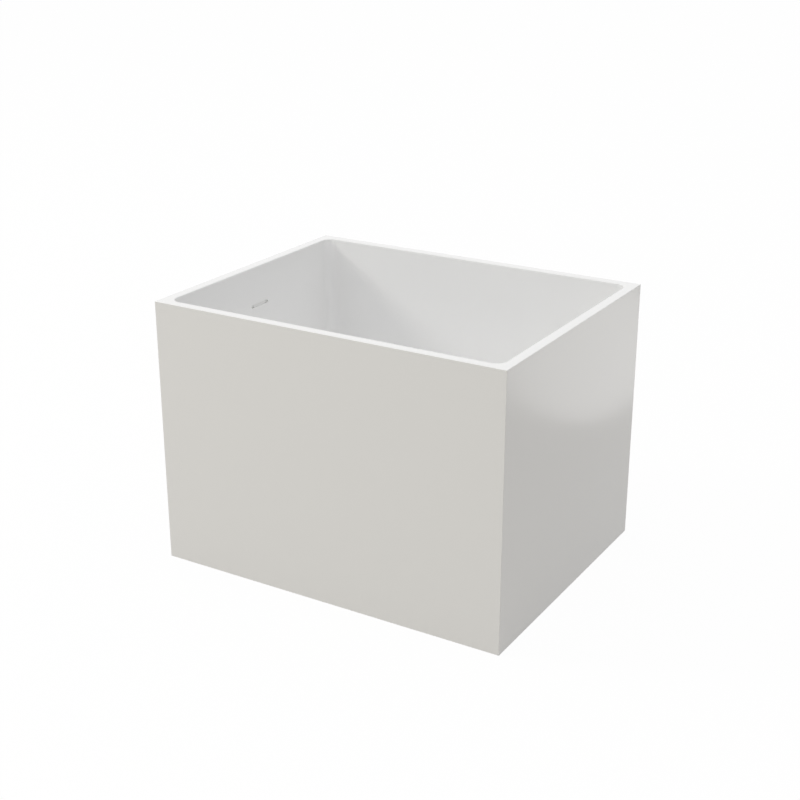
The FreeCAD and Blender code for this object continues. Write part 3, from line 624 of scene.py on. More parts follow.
@dataclass
class Basin:
    """The pressed acrylic sheet with its rim and overflow slot, and the laminate behind it."""

    form: BasinForm
    acrylic: "Finish"
    laminate: "Finish"
    sheet: float = 4 * MM
    backing: float = 3 * MM
    rim_edge_radius: float = 2.5 * MM
    outer_edge_radius: float = 1.0 * MM
    foot_edge: float = 0.15 * MM
    overflow_drop: float = 94 * MM
    slot_length: float = 68 * MM
    slot_height: float = 7 * MM
    slot_lip: float = 0.8 * MM
    lumps: float = 0.13
    lump_waves: tuple[tuple[float, float, float, float], ...] = (
        (61, 0, 23, 0), (0, 53, -31, 1.3), (97, 83, 71, 0))
    sharp_degrees: float = 40.0

    @property
    def slot_centre(self) -> float:
        """Height of the overflow slot's middle."""
        return self.form.height - self.overflow_drop

    def rim_rows(self) -> list[Array]:
        """Make the rows over the rim.

        They follow the inner round, the level top, the outer round, and the sheet's edge
        down to its underside. At turn t a round of radius r stands r / cos draft - r cos t,
        or r sin t, outside its first row, and its height differs by r sin t or r cos t.

        Returns:
            The rows, from the walls outwards.
        """
        form, radius, edge = self.form, self.rim_edge_radius, self.outer_edge_radius
        inner_turns, top_shares = np.linspace(form.draft, QUARTER, 10), np.linspace(0, 1, 5)[1:]
        outer_turns, foot_turns = np.linspace(0, QUARTER, 7)[1:], np.linspace(0, QUARTER, 3)
        centre = form.height - radius
        half_x, half_y, corner = form.section(centre, 0)
        rows = []
        for turn in inner_turns:
            out = radius / math.cos(form.draft) - radius * math.cos(turn)
            rows.append(form.loop.place(half_x + out, half_y + out, corner + out,
                                        centre + radius * math.sin(turn)))
        start = rows[-1]
        outer_x, outer_y = form.half_length - edge, form.half_width - edge
        end = form.loop.place(outer_x, outer_y, 0, form.height)
        for share in top_shares:
            rows.append(start + (end - start) * share)
        for turn in outer_turns:
            out = edge * math.sin(turn)
            rows.append(form.loop.place(outer_x + out, outer_y + out, out,
                                        form.height - edge + edge * math.cos(turn)))
        foot = form.height - self.sheet
        for turn in foot_turns:
            draw = self.foot_edge * (1 - math.cos(turn))
            rows.append(form.loop.place(form.half_length - draw, form.half_width - draw, edge,
                                        foot + self.foot_edge * (1 - math.sin(turn))))
        return rows

    def slot_cutter(self) -> bpy.types.Object:
        """Make the overflow slot's cutter, flared at the mouth so that the slot's lip comes out round.

        A row at depth w behind the wall's face is the slot's outline grown by
        lip - sqrt(lip^2 - (lip - w)^2) inside the lip, and by nothing behind it. The cutter
        starts two lips before the face and ends three walls behind it.

        Returns:
            The cutter, as an object of its own.
        """
        lip_depth = self.slot_lip * (1 - np.cos(np.linspace(0, QUARTER, 7)))
        depth = np.concatenate([[-2 * self.slot_lip], lip_depth, [3 * (self.sheet + self.backing)]])
        inside = np.clip(self.slot_lip - depth, 0, self.slot_lip)
        grow = self.slot_lip - np.sqrt(self.slot_lip ** 2 - inside ** 2)
        ring = obround(self.slot_length, self.slot_height, grow)
        return new_piece("slot_cutter", [Skin(self.form.layers(self.slot_centre, depth, ring))])

    def slotted(self, name: str, rows: Array) -> bpy.types.Object:
        """Make a closed skin and cut the slot through it.

        Args:
            name: Name of the piece.
            rows: Its rows of points, from the waste hole over the rim and back behind.

        Returns:
            The piece.
        """
        piece = new_piece(name, [Skin(rows, True)])
        carve(piece, self.slot_cutter())
        soften(piece, self.sharp_degrees)
        return piece

    def shell(self) -> bpy.types.Object:
        """Make the acrylic sheet, as one closed skin.

        Returns:
            The sheet, with its slot cut.
        """
        form = self.form
        front = form.face(0, form.height - self.rim_edge_radius
                          + self.rim_edge_radius * math.sin(form.draft))[:-1]
        hidden = form.face(self.sheet, form.height - self.sheet)
        return self.slotted("basin_sheet", np.array(front + self.rim_rows() + hidden[::-1]))

    def skin(self) -> bpy.types.Object:
        """Make the laminate, with the slight lumps of a hand-laid back.

        The back's points move towards the sheet by lumps (1 + wave) of its thickness, where
        the wave is the mean of three sines of a weighted sum of X, Y and Z.

        Returns:
            The laminate, with its slot cut.
        """
        form, top = self.form, self.form.height - self.sheet
        near = np.array(form.face(self.sheet, top))
        far = np.array(form.face(self.sheet + self.backing, top))
        waves = [np.sin(far @ np.array(factors) + shift) for *factors, shift in self.lump_waves]
        far = far + (near - far) * self.lumps * (1 + np.mean(waves, axis=0))[..., None]
        return self.slotted("basin_backing", np.concatenate([near, far[::-1]]))

    def build(self) -> None:
        """Make both layers and set them on the tub."""
        finish(self.shell(), "tub", "acrylic", self.acrylic, "basin_shell")
        finish(self.skin(), "tub", "laminate", self.laminate, "basin_laminate")


def obround(length: float, height: float, grow: Array, steps: int = 20) -> Array:
    """Draw outlines of a slot, grown by several amounts.

    Each outline is two half circles of radius height / 2 + grow about centres
    (length - height) / 2 either side of the middle.

    Args:
        length: Length of the slot, over its round ends.
        height: Height of the slot.
        grow: Amount by which each outline stands outside it.
        steps: Spans in each half circle.

    Returns:
        One row of (across, up) points for each amount.
    """
    angle = np.linspace(-QUARTER, QUARTER, steps + 1)
    angle = np.concatenate([angle, angle + math.pi])
    side = np.concatenate([np.ones(steps + 1), -np.ones(steps + 1)])
    radius = height / 2 + np.asarray(grow)[:, None]
    across = side * (length - height) / 2 + radius * np.cos(angle)
    return np.stack([across, radius * np.sin(angle)], axis=-1)


@dataclass
class OverflowCover:
    """Bar that lies in the overflow slot, with its two legs."""

    basin: Basin
    plastic: "Finish"
    length: float = 50 * MM
    height: float = 6.7 * MM
    recess: float = 1.3 * MM
    thickness: float = 3 * MM
    edge: float = 0.7 * MM
    leg_spacing: float = 30 * MM
    leg_width: float = 6 * MM
    leg_height: float = 5 * MM
    leg_edge: float = 0.4 * MM
    wing_length: float = 67 * MM
    wing_height: float = 5 * MM
    wing_recess: float = 2.5 * MM
    wing_thickness: float = 2.5 * MM

    def bar(self) -> Skin:
        """Make the bar: outlines of the slot's shape, drawn in by the rounding at its face.

        At turn t an outline lies edge (1 - cos t) behind the face and is drawn in by
        edge (1 - sin t).

        Returns:
            The bar.
        """
        turn = np.linspace(0, QUARTER, 6)
        depth = np.concatenate([self.recess + self.edge * (1 - np.cos(turn)), [self.recess + self.thickness]])
        grow = np.concatenate([self.edge * (np.sin(turn) - 1), [0.0]])
        return self.stacked(self.length, self.height, grow, depth)

    def wings(self) -> Skin:
        """Make the slimmer bar through it, whose ends close on the ends of the slot.

        Its outlines follow the bar's formula at both faces.

        Returns:
            The slimmer bar, rounded at both faces.
        """
        turn = np.linspace(0, QUARTER, 4)
        rise, inset = self.leg_edge * (1 - np.cos(turn)), self.leg_edge * (np.sin(turn) - 1)
        depth = self.wing_recess + np.concatenate([rise, self.wing_thickness - rise[::-1]])
        return self.stacked(self.wing_length, self.wing_height, np.concatenate([inset, inset[::-1]]), depth)

    def stacked(self, length: float, height: float, grow: Array, depth: Array) -> Skin:
        """Outlines of the slot's shape, each grown, and set square to the wall at its depth."""
        return Skin(self.basin.form.layers(self.basin.slot_centre, depth, obround(length, height, grow)))

    def leg(self, side: int, back_x: float) -> Skin:
        """Make one leg: a rounded rectangle carried from the bar to the back of the overflow box.

        Args:
            side: -1 or 1, for the side of the tub's middle plane.
            back_x: X of the leg's far end.

        Returns:
            The leg.
        """
        height = self.basin.slot_centre
        wide, tall = self.leg_width / 2, self.leg_height / 2
        outline = framed(-wide, wide, -tall, tall, self.leg_edge)
        y, z = side * self.leg_spacing / 2 + outline[:, 0], height + outline[:, 1]
        front_x = self.basin.form.wall_x(height, self.recess + self.thickness / 2)
        return Skin(np.array([np.stack([np.full_like(y, x), y, z], axis=-1) for x in (front_x, back_x)]))

    def build(self) -> None:
        """Make the cover and set it in the slot."""
        back_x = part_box("overflow_cover")[0].x
        legs = [self.leg(side, back_x) for side in (-1, 1)]
        piece = new_piece("overflow_bar", [self.bar(), self.wings()] + legs)
        finish(piece, "tub", "white_plastic", self.plastic, "overflow_cover")


# Waste and stopper

@dataclass
class Waste:
    """Flange, seals, moulded body and tail pipe, all on one upright axis."""

    centre: Triple
    chrome: "Finish"
    rubber: "Finish"
    plastic: "Finish"
    lip: float = 1.2 * MM
    lip_height: float = 3.0 * MM
    dish: float = 1.3 * MM
    flange_edge: float = 1.1 * MM
    sleeve_radius: float = 23.9 * MM
    throat_radius: float = 20.5 * MM
    throat_depth: float = 3.0 * MM
    ledge_radius: float = 18.5 * MM
    ledge_height: float = 10.0 * MM
    flange_thickness: float = 6.0 * MM
    barrel_radius: float = 30.0 * MM
    chamber_radius: float = 26.0 * MM
    chamber_low: float = 78.0 * MM
    chamber_high: float = 104.0 * MM
    barrel_low: float = 74.0 * MM
    socket_radius: float = 24.0 * MM
    outlet_radius: float = 17.0 * MM
    neck_radius: float = 19.5 * MM
    pipe_wall: float = 1.8 * MM
    shoulder_drop: float = 1.0 * MM
    spigot_radius: float = 9.0 * MM
    spigot_wall: float = 1.5 * MM
    seal_bore: float = 26.0 * MM
    flange_seal_room: float = 1.0 * MM
    thread_gap: float = 0.1 * MM
    push_gap: float = 0.05 * MM
    nut_gap: float = 0.3 * MM
    nut_seat: float = 4.0 * MM
    edge: float = 0.5 * MM
    seal_edge: float = 0.25 * MM

    def flange(self) -> Skin:
        """Make the chromed flange: rolled lip, shallow dish, round throat, and the sleeve with its ledge.

        Returns:
            The flange.
        """
        low, high = box_of("waste_flange")
        rim, top, foot = (high[0] - low[0]) / 2, high[2], low[2]
        seat, dish, ledge = top - self.lip_height, top - self.dish, foot + self.ledge_height
        return turned(rounded([
            (rim, seat), (rim, seat + self.lip), (rim - 2 * self.lip, top), (self.sleeve_radius, dish),
            (self.throat_radius, dish - self.throat_depth), (self.throat_radius, ledge),
            (self.ledge_radius, ledge), (self.ledge_radius, foot), (self.sleeve_radius, foot),
            (self.sleeve_radius, seat)], self.flange_edge, steps=8), self.centre, columns=144)

    def ring(self, node: str, inner: float) -> Skin:
        """Rubber ring with soft edges, as large as its node, round a hole of a given radius."""
        low, high = box_of(node)
        return turned(framed(inner, (high[0] - low[0]) / 2, low[2], high[2], self.seal_edge), self.centre)

    def body(self) -> list[Skin]:
        """Make the moulded body: flange, barrel with its chamber, outlet socket, and the overflow inlet.

        Returns:
            The turned body and its inlet.
        """
        low, high = box_of("waste_body")
        foot, top = low[2], high[2]
        rim, reach = high[0] - self.centre[0], self.centre[0] - low[0]
        bore, socket = self.sleeve_radius + self.thread_gap, self.neck_radius + self.push_gap
        underside = top - self.flange_thickness
        barrel = turned(rounded([
            (rim, top), (bore, top), (bore, self.chamber_high), (self.chamber_radius, self.chamber_high),
            (self.chamber_radius, self.chamber_low), (self.outlet_radius, self.chamber_low),
            (self.outlet_radius, self.barrel_low), (socket, self.barrel_low), (socket, foot),
            (self.socket_radius, foot), (self.socket_radius, self.barrel_low),
            (self.barrel_radius, self.barrel_low), (self.barrel_radius, underside), (rim, underside)],
            self.edge), self.centre)
        outline = framed(self.spigot_radius - self.spigot_wall, self.spigot_radius,
                         self.chamber_radius + self.spigot_wall, reach, self.edge)
        seat = (self.centre[0], 0, (self.chamber_low + self.chamber_high) / 2)
        return [barrel, turned(outline, seat, columns=56, axis=(-1, 0, 0))]

    def tail_pipe(self) -> Skin:
        """Make the tail pipe, with a full-size free end and a narrower neck.

        Returns:
            The pipe.
        """
        low, high = box_of("tail_pipe")
        outer, bore = (high[0] - low[0]) / 2, self.neck_radius - self.pipe_wall
        shoulder = box_of("tail_nut")[0][2] - self.shoulder_drop
        return turned(rounded([
            (bore, low[2]), (outer, low[2]), (outer, shoulder), (self.neck_radius, shoulder),
            (self.neck_radius, high[2]), (bore, high[2])], self.edge), self.centre)

    def tail_nut(self) -> Skin:
        """Make the compression nut: hexagonal outside, stepped bore inside, both ends chamfered.

        Returns:
            The nut.
        """
        low, high = box_of("tail_nut")
        thread, hole = self.socket_radius + self.thread_gap, self.neck_radius + self.nut_gap
        nut = hexagon_bar(high[1] - low[1], low[2], high[2], thread, self.centre, 96)
        seat = low[2] + self.nut_seat
        radii = np.repeat([[thread], [hole], [hole]], nut.points.shape[1], axis=1)
        step = spun(radii, np.array([seat, seat, low[2]]), self.centre)
        return Skin(np.concatenate([nut.points[1:], step.points]), True)

    def build(self) -> None:
        """Make the waste's pieces and set them on the tub."""
        finish(new_piece("flange", [self.flange()]), "tub", "chrome", self.chrome, "waste_flange")
        flange_bore = self.seal_bore + self.flange_seal_room
        for name, node, inner in (("flange_seal", "waste_flange_seal", flange_bore),
                                  ("under_seal", "waste_under_seal", self.seal_bore),
                                  ("tail_seal", "tail_washer", self.neck_radius + self.push_gap)):
            finish(new_piece(name, [self.ring(node, inner)]), "tub", "seal_rubber", self.rubber, node)
        for name, node, skins in (("waste_moulding", "waste_body", self.body()),
                                  ("tail", "tail_pipe", [self.tail_pipe()]),
                                  ("tail_hexagon", "tail_nut", [self.tail_nut()])):
            finish(new_piece(name, skins), "tub", "grey_plastic", self.plastic, node)


@dataclass
class Stopper:
    """Domed cap, soft seal and stem that lift together, and the spoked guide that stays."""

    centre: Triple
    chrome: "Finish"
    rubber: "Finish"
    plastic: "Finish"
    cap_edge: float = 0.8 * MM
    skirt_width: float = 2.4 * MM
    skirt_radius: float = 21.5 * MM
    seal_lip: float = 1.2 * MM
    stem_radius: float = 4.0 * MM
    collar_radius: float = 6.0 * MM
    collar_height: float = 3.0 * MM
    hub_radius: float = 8.0 * MM
    ring_width: float = 1.8 * MM
    arm_width: float = 3.0 * MM
    arms: int = 3
    running_gap: float = 0.05 * MM
    edge: float = 0.4 * MM
    dome_steps: int = 28

    def cap(self) -> Skin:
        """Make the cap, whose crown is a quarter ellipse: radius sin t, edge + crown cos t.

        Returns:
            The cap with its skirt.
        """
        low, high = box_of("stopper_cap")
        radius = (high[0] - low[0]) / 2
        underside = box_of("stopper_seal")[1][2]
        edge = underside + self.cap_edge
        turn = np.linspace(0, QUARTER, self.dome_steps)
        dome = np.stack([radius * np.sin(turn), edge + (high[2] - edge) * np.cos(turn)], axis=-1)
        inner = self.skirt_radius - self.skirt_width
        under = rounded([(radius, edge), (radius, underside), (self.skirt_radius, underside),
                         (self.skirt_radius, low[2]), (inner, low[2]), (inner, underside), (0, underside)],
                        self.edge, closed=False)
        return turned(np.concatenate([dome, under[1:]]), self.centre, closed=False, columns=144)

    def seal(self) -> Skin:
        """Make the seal, with a lip that thins towards its rim.

        Returns:
            The seal.
        """
        low, high = box_of("stopper_seal")
        outer, inner = (high[0] - low[0]) / 2, self.skirt_radius + self.running_gap
        middle = (low[2] + high[2]) / 2
        return turned(rounded([(inner, low[2]), (outer - self.seal_lip, low[2]), (outer, middle),
                               (outer, high[2]), (inner, high[2])], self.edge / 2), self.centre)

    def stem(self) -> Skin:
        """Make the stem, with the collar that stops the lift.

        Returns:
            The stem.
        """
        low, high = box_of("stopper_stem")
        collar = low[2] + self.collar_height
        return turned(rounded([(0, low[2]), (self.collar_radius, low[2]), (self.collar_radius, collar),
                               (self.stem_radius, collar), (self.stem_radius, high[2]), (0, high[2])],
                              self.edge, closed=False), self.centre, closed=False, columns=64)

    def arm(self, number: int) -> Skin:
        """Make one arm: a rounded upright section carried straight out from the hub to the ring.

        Args:
            number: Place of the arm, from +X round the axis.

        Returns:
            The arm.
        """
        low, high = box_of("stopper_guide")
        half = self.arm_width / 2
        outline = framed(-half, half, low[2], high[2], self.edge)
        turn = WHOLE * number / self.arms
        out = np.array([math.cos(turn), math.sin(turn), 0])
        aside = np.array([-math.sin(turn), math.cos(turn), 0])
        section = np.array(self.centre) + outline[:, :1] * aside + outline[:, 1:] * np.array(Axis.Z.vector)
        ends = ((self.stem_radius + self.hub_radius) / 2, high[0] - self.centre[0] - self.ring_width / 2)
        return Skin(np.array([section + out * place for place in ends]))

    def guide(self) -> list[Skin]:
        """Make the hub, the ring and the arms.

        Returns:
            Hub and ring, then the arms.
        """
        low, high = box_of("stopper_guide")
        outer = high[0] - self.centre[0]
        rings = ((self.stem_radius + self.running_gap, self.hub_radius), (outer - self.ring_width, outer))
        skins = [turned(framed(inside, outside, low[2], high[2], self.edge), self.centre, columns=72)
                 for inside, outside in rings]
        return skins + [self.arm(number) for number in range(self.arms)]

    def build(self) -> None:
        """Make the stopper's pieces; the guide stays on the tub and the rest lifts."""
        finish(new_piece("cap", [self.cap()]), "stopper", "chrome", self.chrome, "stopper_cap")
        finish(new_piece("cap_seal", [self.seal()]), "stopper", "seal_rubber", self.rubber, "stopper_seal")
        finish(new_piece("lift_stem", [self.stem()]), "stopper", "chrome", self.chrome, "stopper_stem")
        finish(new_piece("guide", self.guide()), "tub", "grey_plastic", self.plastic, "stopper_guide")


# Feet

@dataclass
class Foot:
    """One levelling foot: ribbed rubber pad, and threaded stem with its spanner hexagon."""

    number: int
    rubber: "Finish"
    zinc: "Finish"
    edge_height: float = 3.5 * MM
    pad_edge: float = 0.9 * MM
    neck_radius: float = 9.0 * MM
    socket_radius: float = 5.55 * MM
    socket_floor: float = 4.0 * MM
    groove_depth: float = 0.7 * MM
    groove_width: float = 2.0 * MM
    grooves: int = 4
    first_groove: float = 0.3
    last_groove: float = 0.85
    tip_radius: float = 5.5 * MM
    tip_edge: float = 0.5 * MM
    thread_radius: float = 6.0 * MM
    thread_depth: float = 0.95 * MM
    pitch: float = 1.75 * MM
    hexagon_low: float = 15.0 * MM
    hexagon_high: float = 23.0 * MM

    @property
    def seat(self) -> Triple:
        """Middle of the pad on the floor."""
        low, high = box_of("foot_%d_pad" % self.number)
        return ((low[0] + high[0]) / 2, (low[1] + high[1]) / 2, 0.0)

    def pad(self) -> Skin:
        """Make the pad, with round grooves under it, a sloping shoulder and a socket for the stem.

        Returns:
            The pad.
        """
        low, high = box_of("foot_%d_pad" % self.number)
        radius, top = (high[0] - low[0]) / 2, high[2]
        shoulder = (self.edge_height + top) / 2
        waist = (self.neck_radius + radius / 2) / 2
        outline = [(0, 0)]
        for place in np.linspace(radius * self.first_groove, radius * self.last_groove, self.grooves):
            near, far = place - self.groove_width / 2, place + self.groove_width / 2
            outline += [(near, 0), (near, self.groove_depth), (far, self.groove_depth), (far, 0)]
        outline += [(radius, 0), (radius, self.edge_height), (waist, shoulder), (self.neck_radius, top),
                    (self.socket_radius, top), (self.socket_radius, self.socket_floor),
                    (0, self.socket_floor)]
        return turned(rounded(outline, self.pad_edge, closed=False), self.seat, closed=False, columns=72)

    def stem(self) -> list[Skin]:
        """Make the stem: a plain tip, the hexagon and the thread, one above another.

        Returns:
            The three.
        """
        low, high = box_of("foot_%d_stem" % self.number)
        outline = rounded([(0, low[2]), (self.tip_radius, low[2]), (self.tip_radius, self.hexagon_low),
                           (0, self.hexagon_low)], self.tip_edge, closed=False)
        return [turned(outline, self.seat, closed=False, columns=40),
                hexagon_bar(high[1] - low[1], self.hexagon_low, self.hexagon_high, 0, self.seat, 48),
                screw_thread(self.thread_radius, self.thread_depth, self.pitch, self.hexagon_high, high[2],
                             self.seat)]

    def build(self) -> None:
        """Make pad and stem, each on its own body."""
        for part, skins, slot, look in (("pad", [self.pad()], "foot_rubber", self.rubber),
                                        ("stem", self.stem(), "zinc_plate", self.zinc)):
            body = "foot_%d_%s" % (self.number, part)
            finish(new_piece("levelling_%s_%d" % (part, self.number), skins), body, slot, look, body)


@dataclass
class FootNuts:
    """Weld nuts in the long rails and lock nuts under them."""

    feet: Sequence[Foot]
    zinc: "Finish"
    bore: float = 6.05 * MM

    def build(self) -> None:
        """Make both sets of nuts, each as large as in its node."""
        front = min(foot.seat[1] for foot in self.feet)
        for name, node in (("weld_nuts", "foot_weld_nuts"), ("lock_nuts", "foot_lock_nuts")):
            low, high = box_of(node)
            width = 2 * (front - low[1])
            skins = [hexagon_bar(width, low[2], high[2], self.bore, foot.seat, 48) for foot in self.feet]
            finish(new_piece(name, skins), "tub", "zinc_plate", self.zinc, node)


# Screws

@dataclass(frozen=True)
class Screw:
    """A pan-head screw with a round drive hole, given from the seat of its head.

    The head's outline is in shares of its radius and height, from the floor of the drive
    hole over the crown down to the seat, and the point's length in shares of the shank's radius.
    """

    seat: Triple
    inwards: Triple
    head_radius: float
    head_height: float
    shank_radius: float
    length: float
    point: float = 1.5
    head: tuple[Pair, ...] = ((0, 0.45), (0.342, 0.45), (0.38, 1), (0.72, 0.93), (0.93, 0.66), (1, 0.225),
                              (1, 0))

    def skin(self, columns: int = 16) -> Skin:
        """Turn the screw about its own axis.

        Args:
            columns: Points round the axis.

        Returns:
            The screw.
        """
        head = [(across * self.head_radius, -up * self.head_height) for across, up in self.head]
        point = self.length - self.point * self.shank_radius
        outline = np.array(head + [(self.shank_radius, 0), (self.shank_radius, point), (0, self.length)])
        return turned(outline, self.seat, closed=False, columns=columns, axis=self.inwards)


@dataclass
class RailScrews:
    """Screws of the angle clips, and the screws from the cross rails into the board."""

    zinc: "Finish"
    clip_reach: float = 17.0 * MM
    clip_plate: float = 2.0 * MM
    clip_head_radius: float = 4.5 * MM
    clip_head_height: float = 3.0 * MM
    clip_shank_radius: float = 2.0 * MM
    clip_screw_length: float = 14.0 * MM
    board_screw_y: float = 110.03 * MM
    board_head_radius: float = 6.0 * MM
    board_head_height: float = 4.0 * MM
    board_shank_radius: float = 2.5 * MM

    def clip_screws(self) -> list[Screw]:
        """Make both screws of every clip: one through each leg, at the middle of its free length.

        Returns:
            The screws, those of the cross rails first.
        """
        screws = []
        for _, x_high, z in self.cross_rails():
            for side in (-1, 1):
                corner = np.array([x_high, side * box_of("cross_rail_left")[1][1], z])
                screws += self.pair(corner, np.array([0, -side, 0]), np.array([1, 0, 0]))
        for rail, away in (("long_rail_front", -1), ("long_rail_back", 1)):
            low, high = box_of(rail)
            for side in (-1, 1):
                corner = np.array([side * high[0], (high if away > 0 else low)[1], (low[2] + high[2]) / 2])
                screws += self.pair(corner, np.array([-side, 0, 0]), np.array([0, away, 0]))
        return screws

    def cross_rails(self) -> list[Triple]:
        """Measure the cross rails.

        Returns:
            Low X, high X and middle height of each.
        """
        found = []
        for place in ("left", "middle", "right"):
            low, high = box_of("cross_rail_" + place)
            found.append((low[0], high[0], (low[2] + high[2]) / 2))
        return found

    def pair(self, corner: Array, along: Array, away: Array) -> list[Screw]:
        """Make the two screws of one clip.

        Args:
            corner: Inner corner of the clip.
            along: Unit vector along the rail that the clip holds, out of the corner.
            away: Unit vector along the clip's other leg, out of the corner.

        Returns:
            The screw through each leg.
        """
        pair = []
        for run, depth in ((along, away), (away, along)):
            seat = corner + run * self.clip_reach + depth * self.clip_plate
            pair.append(Screw(tuple(seat), tuple(-depth.astype(float)), self.clip_head_radius,
                              self.clip_head_height, self.clip_shank_radius, self.clip_screw_length))
        return pair

    def board_screws(self) -> list[Screw]:
        """Make two screws up through each cross rail.

        Returns:
            The screws.
        """
        low, high = box_of("board_screws")
        seat = low[2] + self.board_head_height
        return [Screw(((x_low + x_high) / 2, side * self.board_screw_y, seat), Axis.Z.vector,
                      self.board_head_radius, self.board_head_height, self.board_shank_radius, high[2] - seat)
                for x_low, x_high, _ in self.cross_rails() for side in (-1, 1)]

    def build(self) -> None:
        """Make both sets."""
        for name, node, skins in (
                ("angle_screws", "clip_screws", [screw.skin(12) for screw in self.clip_screws()]),
                ("timber_screws", "board_screws", [screw.skin() for screw in self.board_screws()])):
            finish(new_piece(name, skins), "tub", "zinc_plate", self.zinc, node)


# Overflow hose

@dataclass
class HoseClip:
    """Worm-drive clip on the hose: rolled band, housing on its +Y side, and the screw across it."""

    node: str
    axis: Axis
    bore: float
    band: float
    edge: float = 0.25 * MM
    housing_width: float = 7.92 * MM
    housing_edge: float = 0.5 * MM
    crown_share: float = 0.55
    crown_height: float = 1.6 * MM
    end_inset: float = 0.1 * MM
    end_run: float = 0.5 * MM
    end_width: float = 0.85
    end_height: float = 0.895
    screw_length: float = 12.0 * MM
    screw_radius: float = 1.7 * MM
    screw_rise: float = 2.5 * MM
    head_radius: float = 2.0 * MM
    head_length: float = 1.2 * MM

    @property
    def across(self) -> Axis:
        """Axis that the screw lies along."""
        return Axis.Z if self.axis is Axis.X else Axis.X

    @property
    def sides(self) -> Span:
        """Both sides of the band along its axis."""
        low, high = box_of(self.node)
        return low[self.axis.value], high[self.axis.value]

    @property
    def centre(self) -> Array:
        """Point of the band's axis, at zero along it."""
        reach = box_of(self.node)[0][self.across.value] + self.bore + self.band
        return reach * np.array(self.across.vector)

    def strap(self) -> Skin:
        """The rolled band."""
        outline = framed(self.bore, self.bore + self.band, *self.sides, self.edge)
        return turned(outline, self.centre, columns=80, axis=self.axis.vector)

    def housing(self) -> Skin:
        """Make the housing: a hipped outline carried across the band, and smaller at both sides.

        Returns:
            The housing.
        """
        low, high = self.sides
        top, half = box_of(self.node)[1][1], self.housing_width / 2
        shoulder, crown = top - self.crown_height, half * self.crown_share
        outline = rounded([(-half, self.bore), (-half, shoulder), (-crown, top), (crown, top),
                           (half, shoulder), (half, self.bore)], self.housing_edge)
        rows = []
        for place, width, height in ((low + self.end_inset, self.end_width, self.end_height),
                                     (low + self.end_run, 1.0, 1.0), (high - self.end_run, 1.0, 1.0),
                                     (high - self.end_inset, self.end_width, self.end_height)):
            row = self.centre + outline[:, :1] * width * np.array(self.across.vector)
            row[:, 1] = self.bore + (outline[:, 1] - self.bore) * height
            row[:, self.axis.value] = place
            rows.append(row)
        return Skin(np.array(rows))

    def worm(self) -> Skin:
        """Make the screw across the band, with its head at the low end.

        Returns:
            The screw.
        """
        seat, reach = self.centre, self.screw_length / 2
        seat[1] = self.bore + self.screw_rise
        seat[self.axis.value] = sum(self.sides) / 2
        neck = self.head_length - reach
        outline = rounded([(0, -reach), (self.head_radius, -reach), (self.head_radius, neck),
                           (self.screw_radius, neck), (self.screw_radius, reach), (0, reach)],
                          self.edge, closed=False)
        return turned(outline, seat, closed=False, columns=24, axis=self.across.vector)


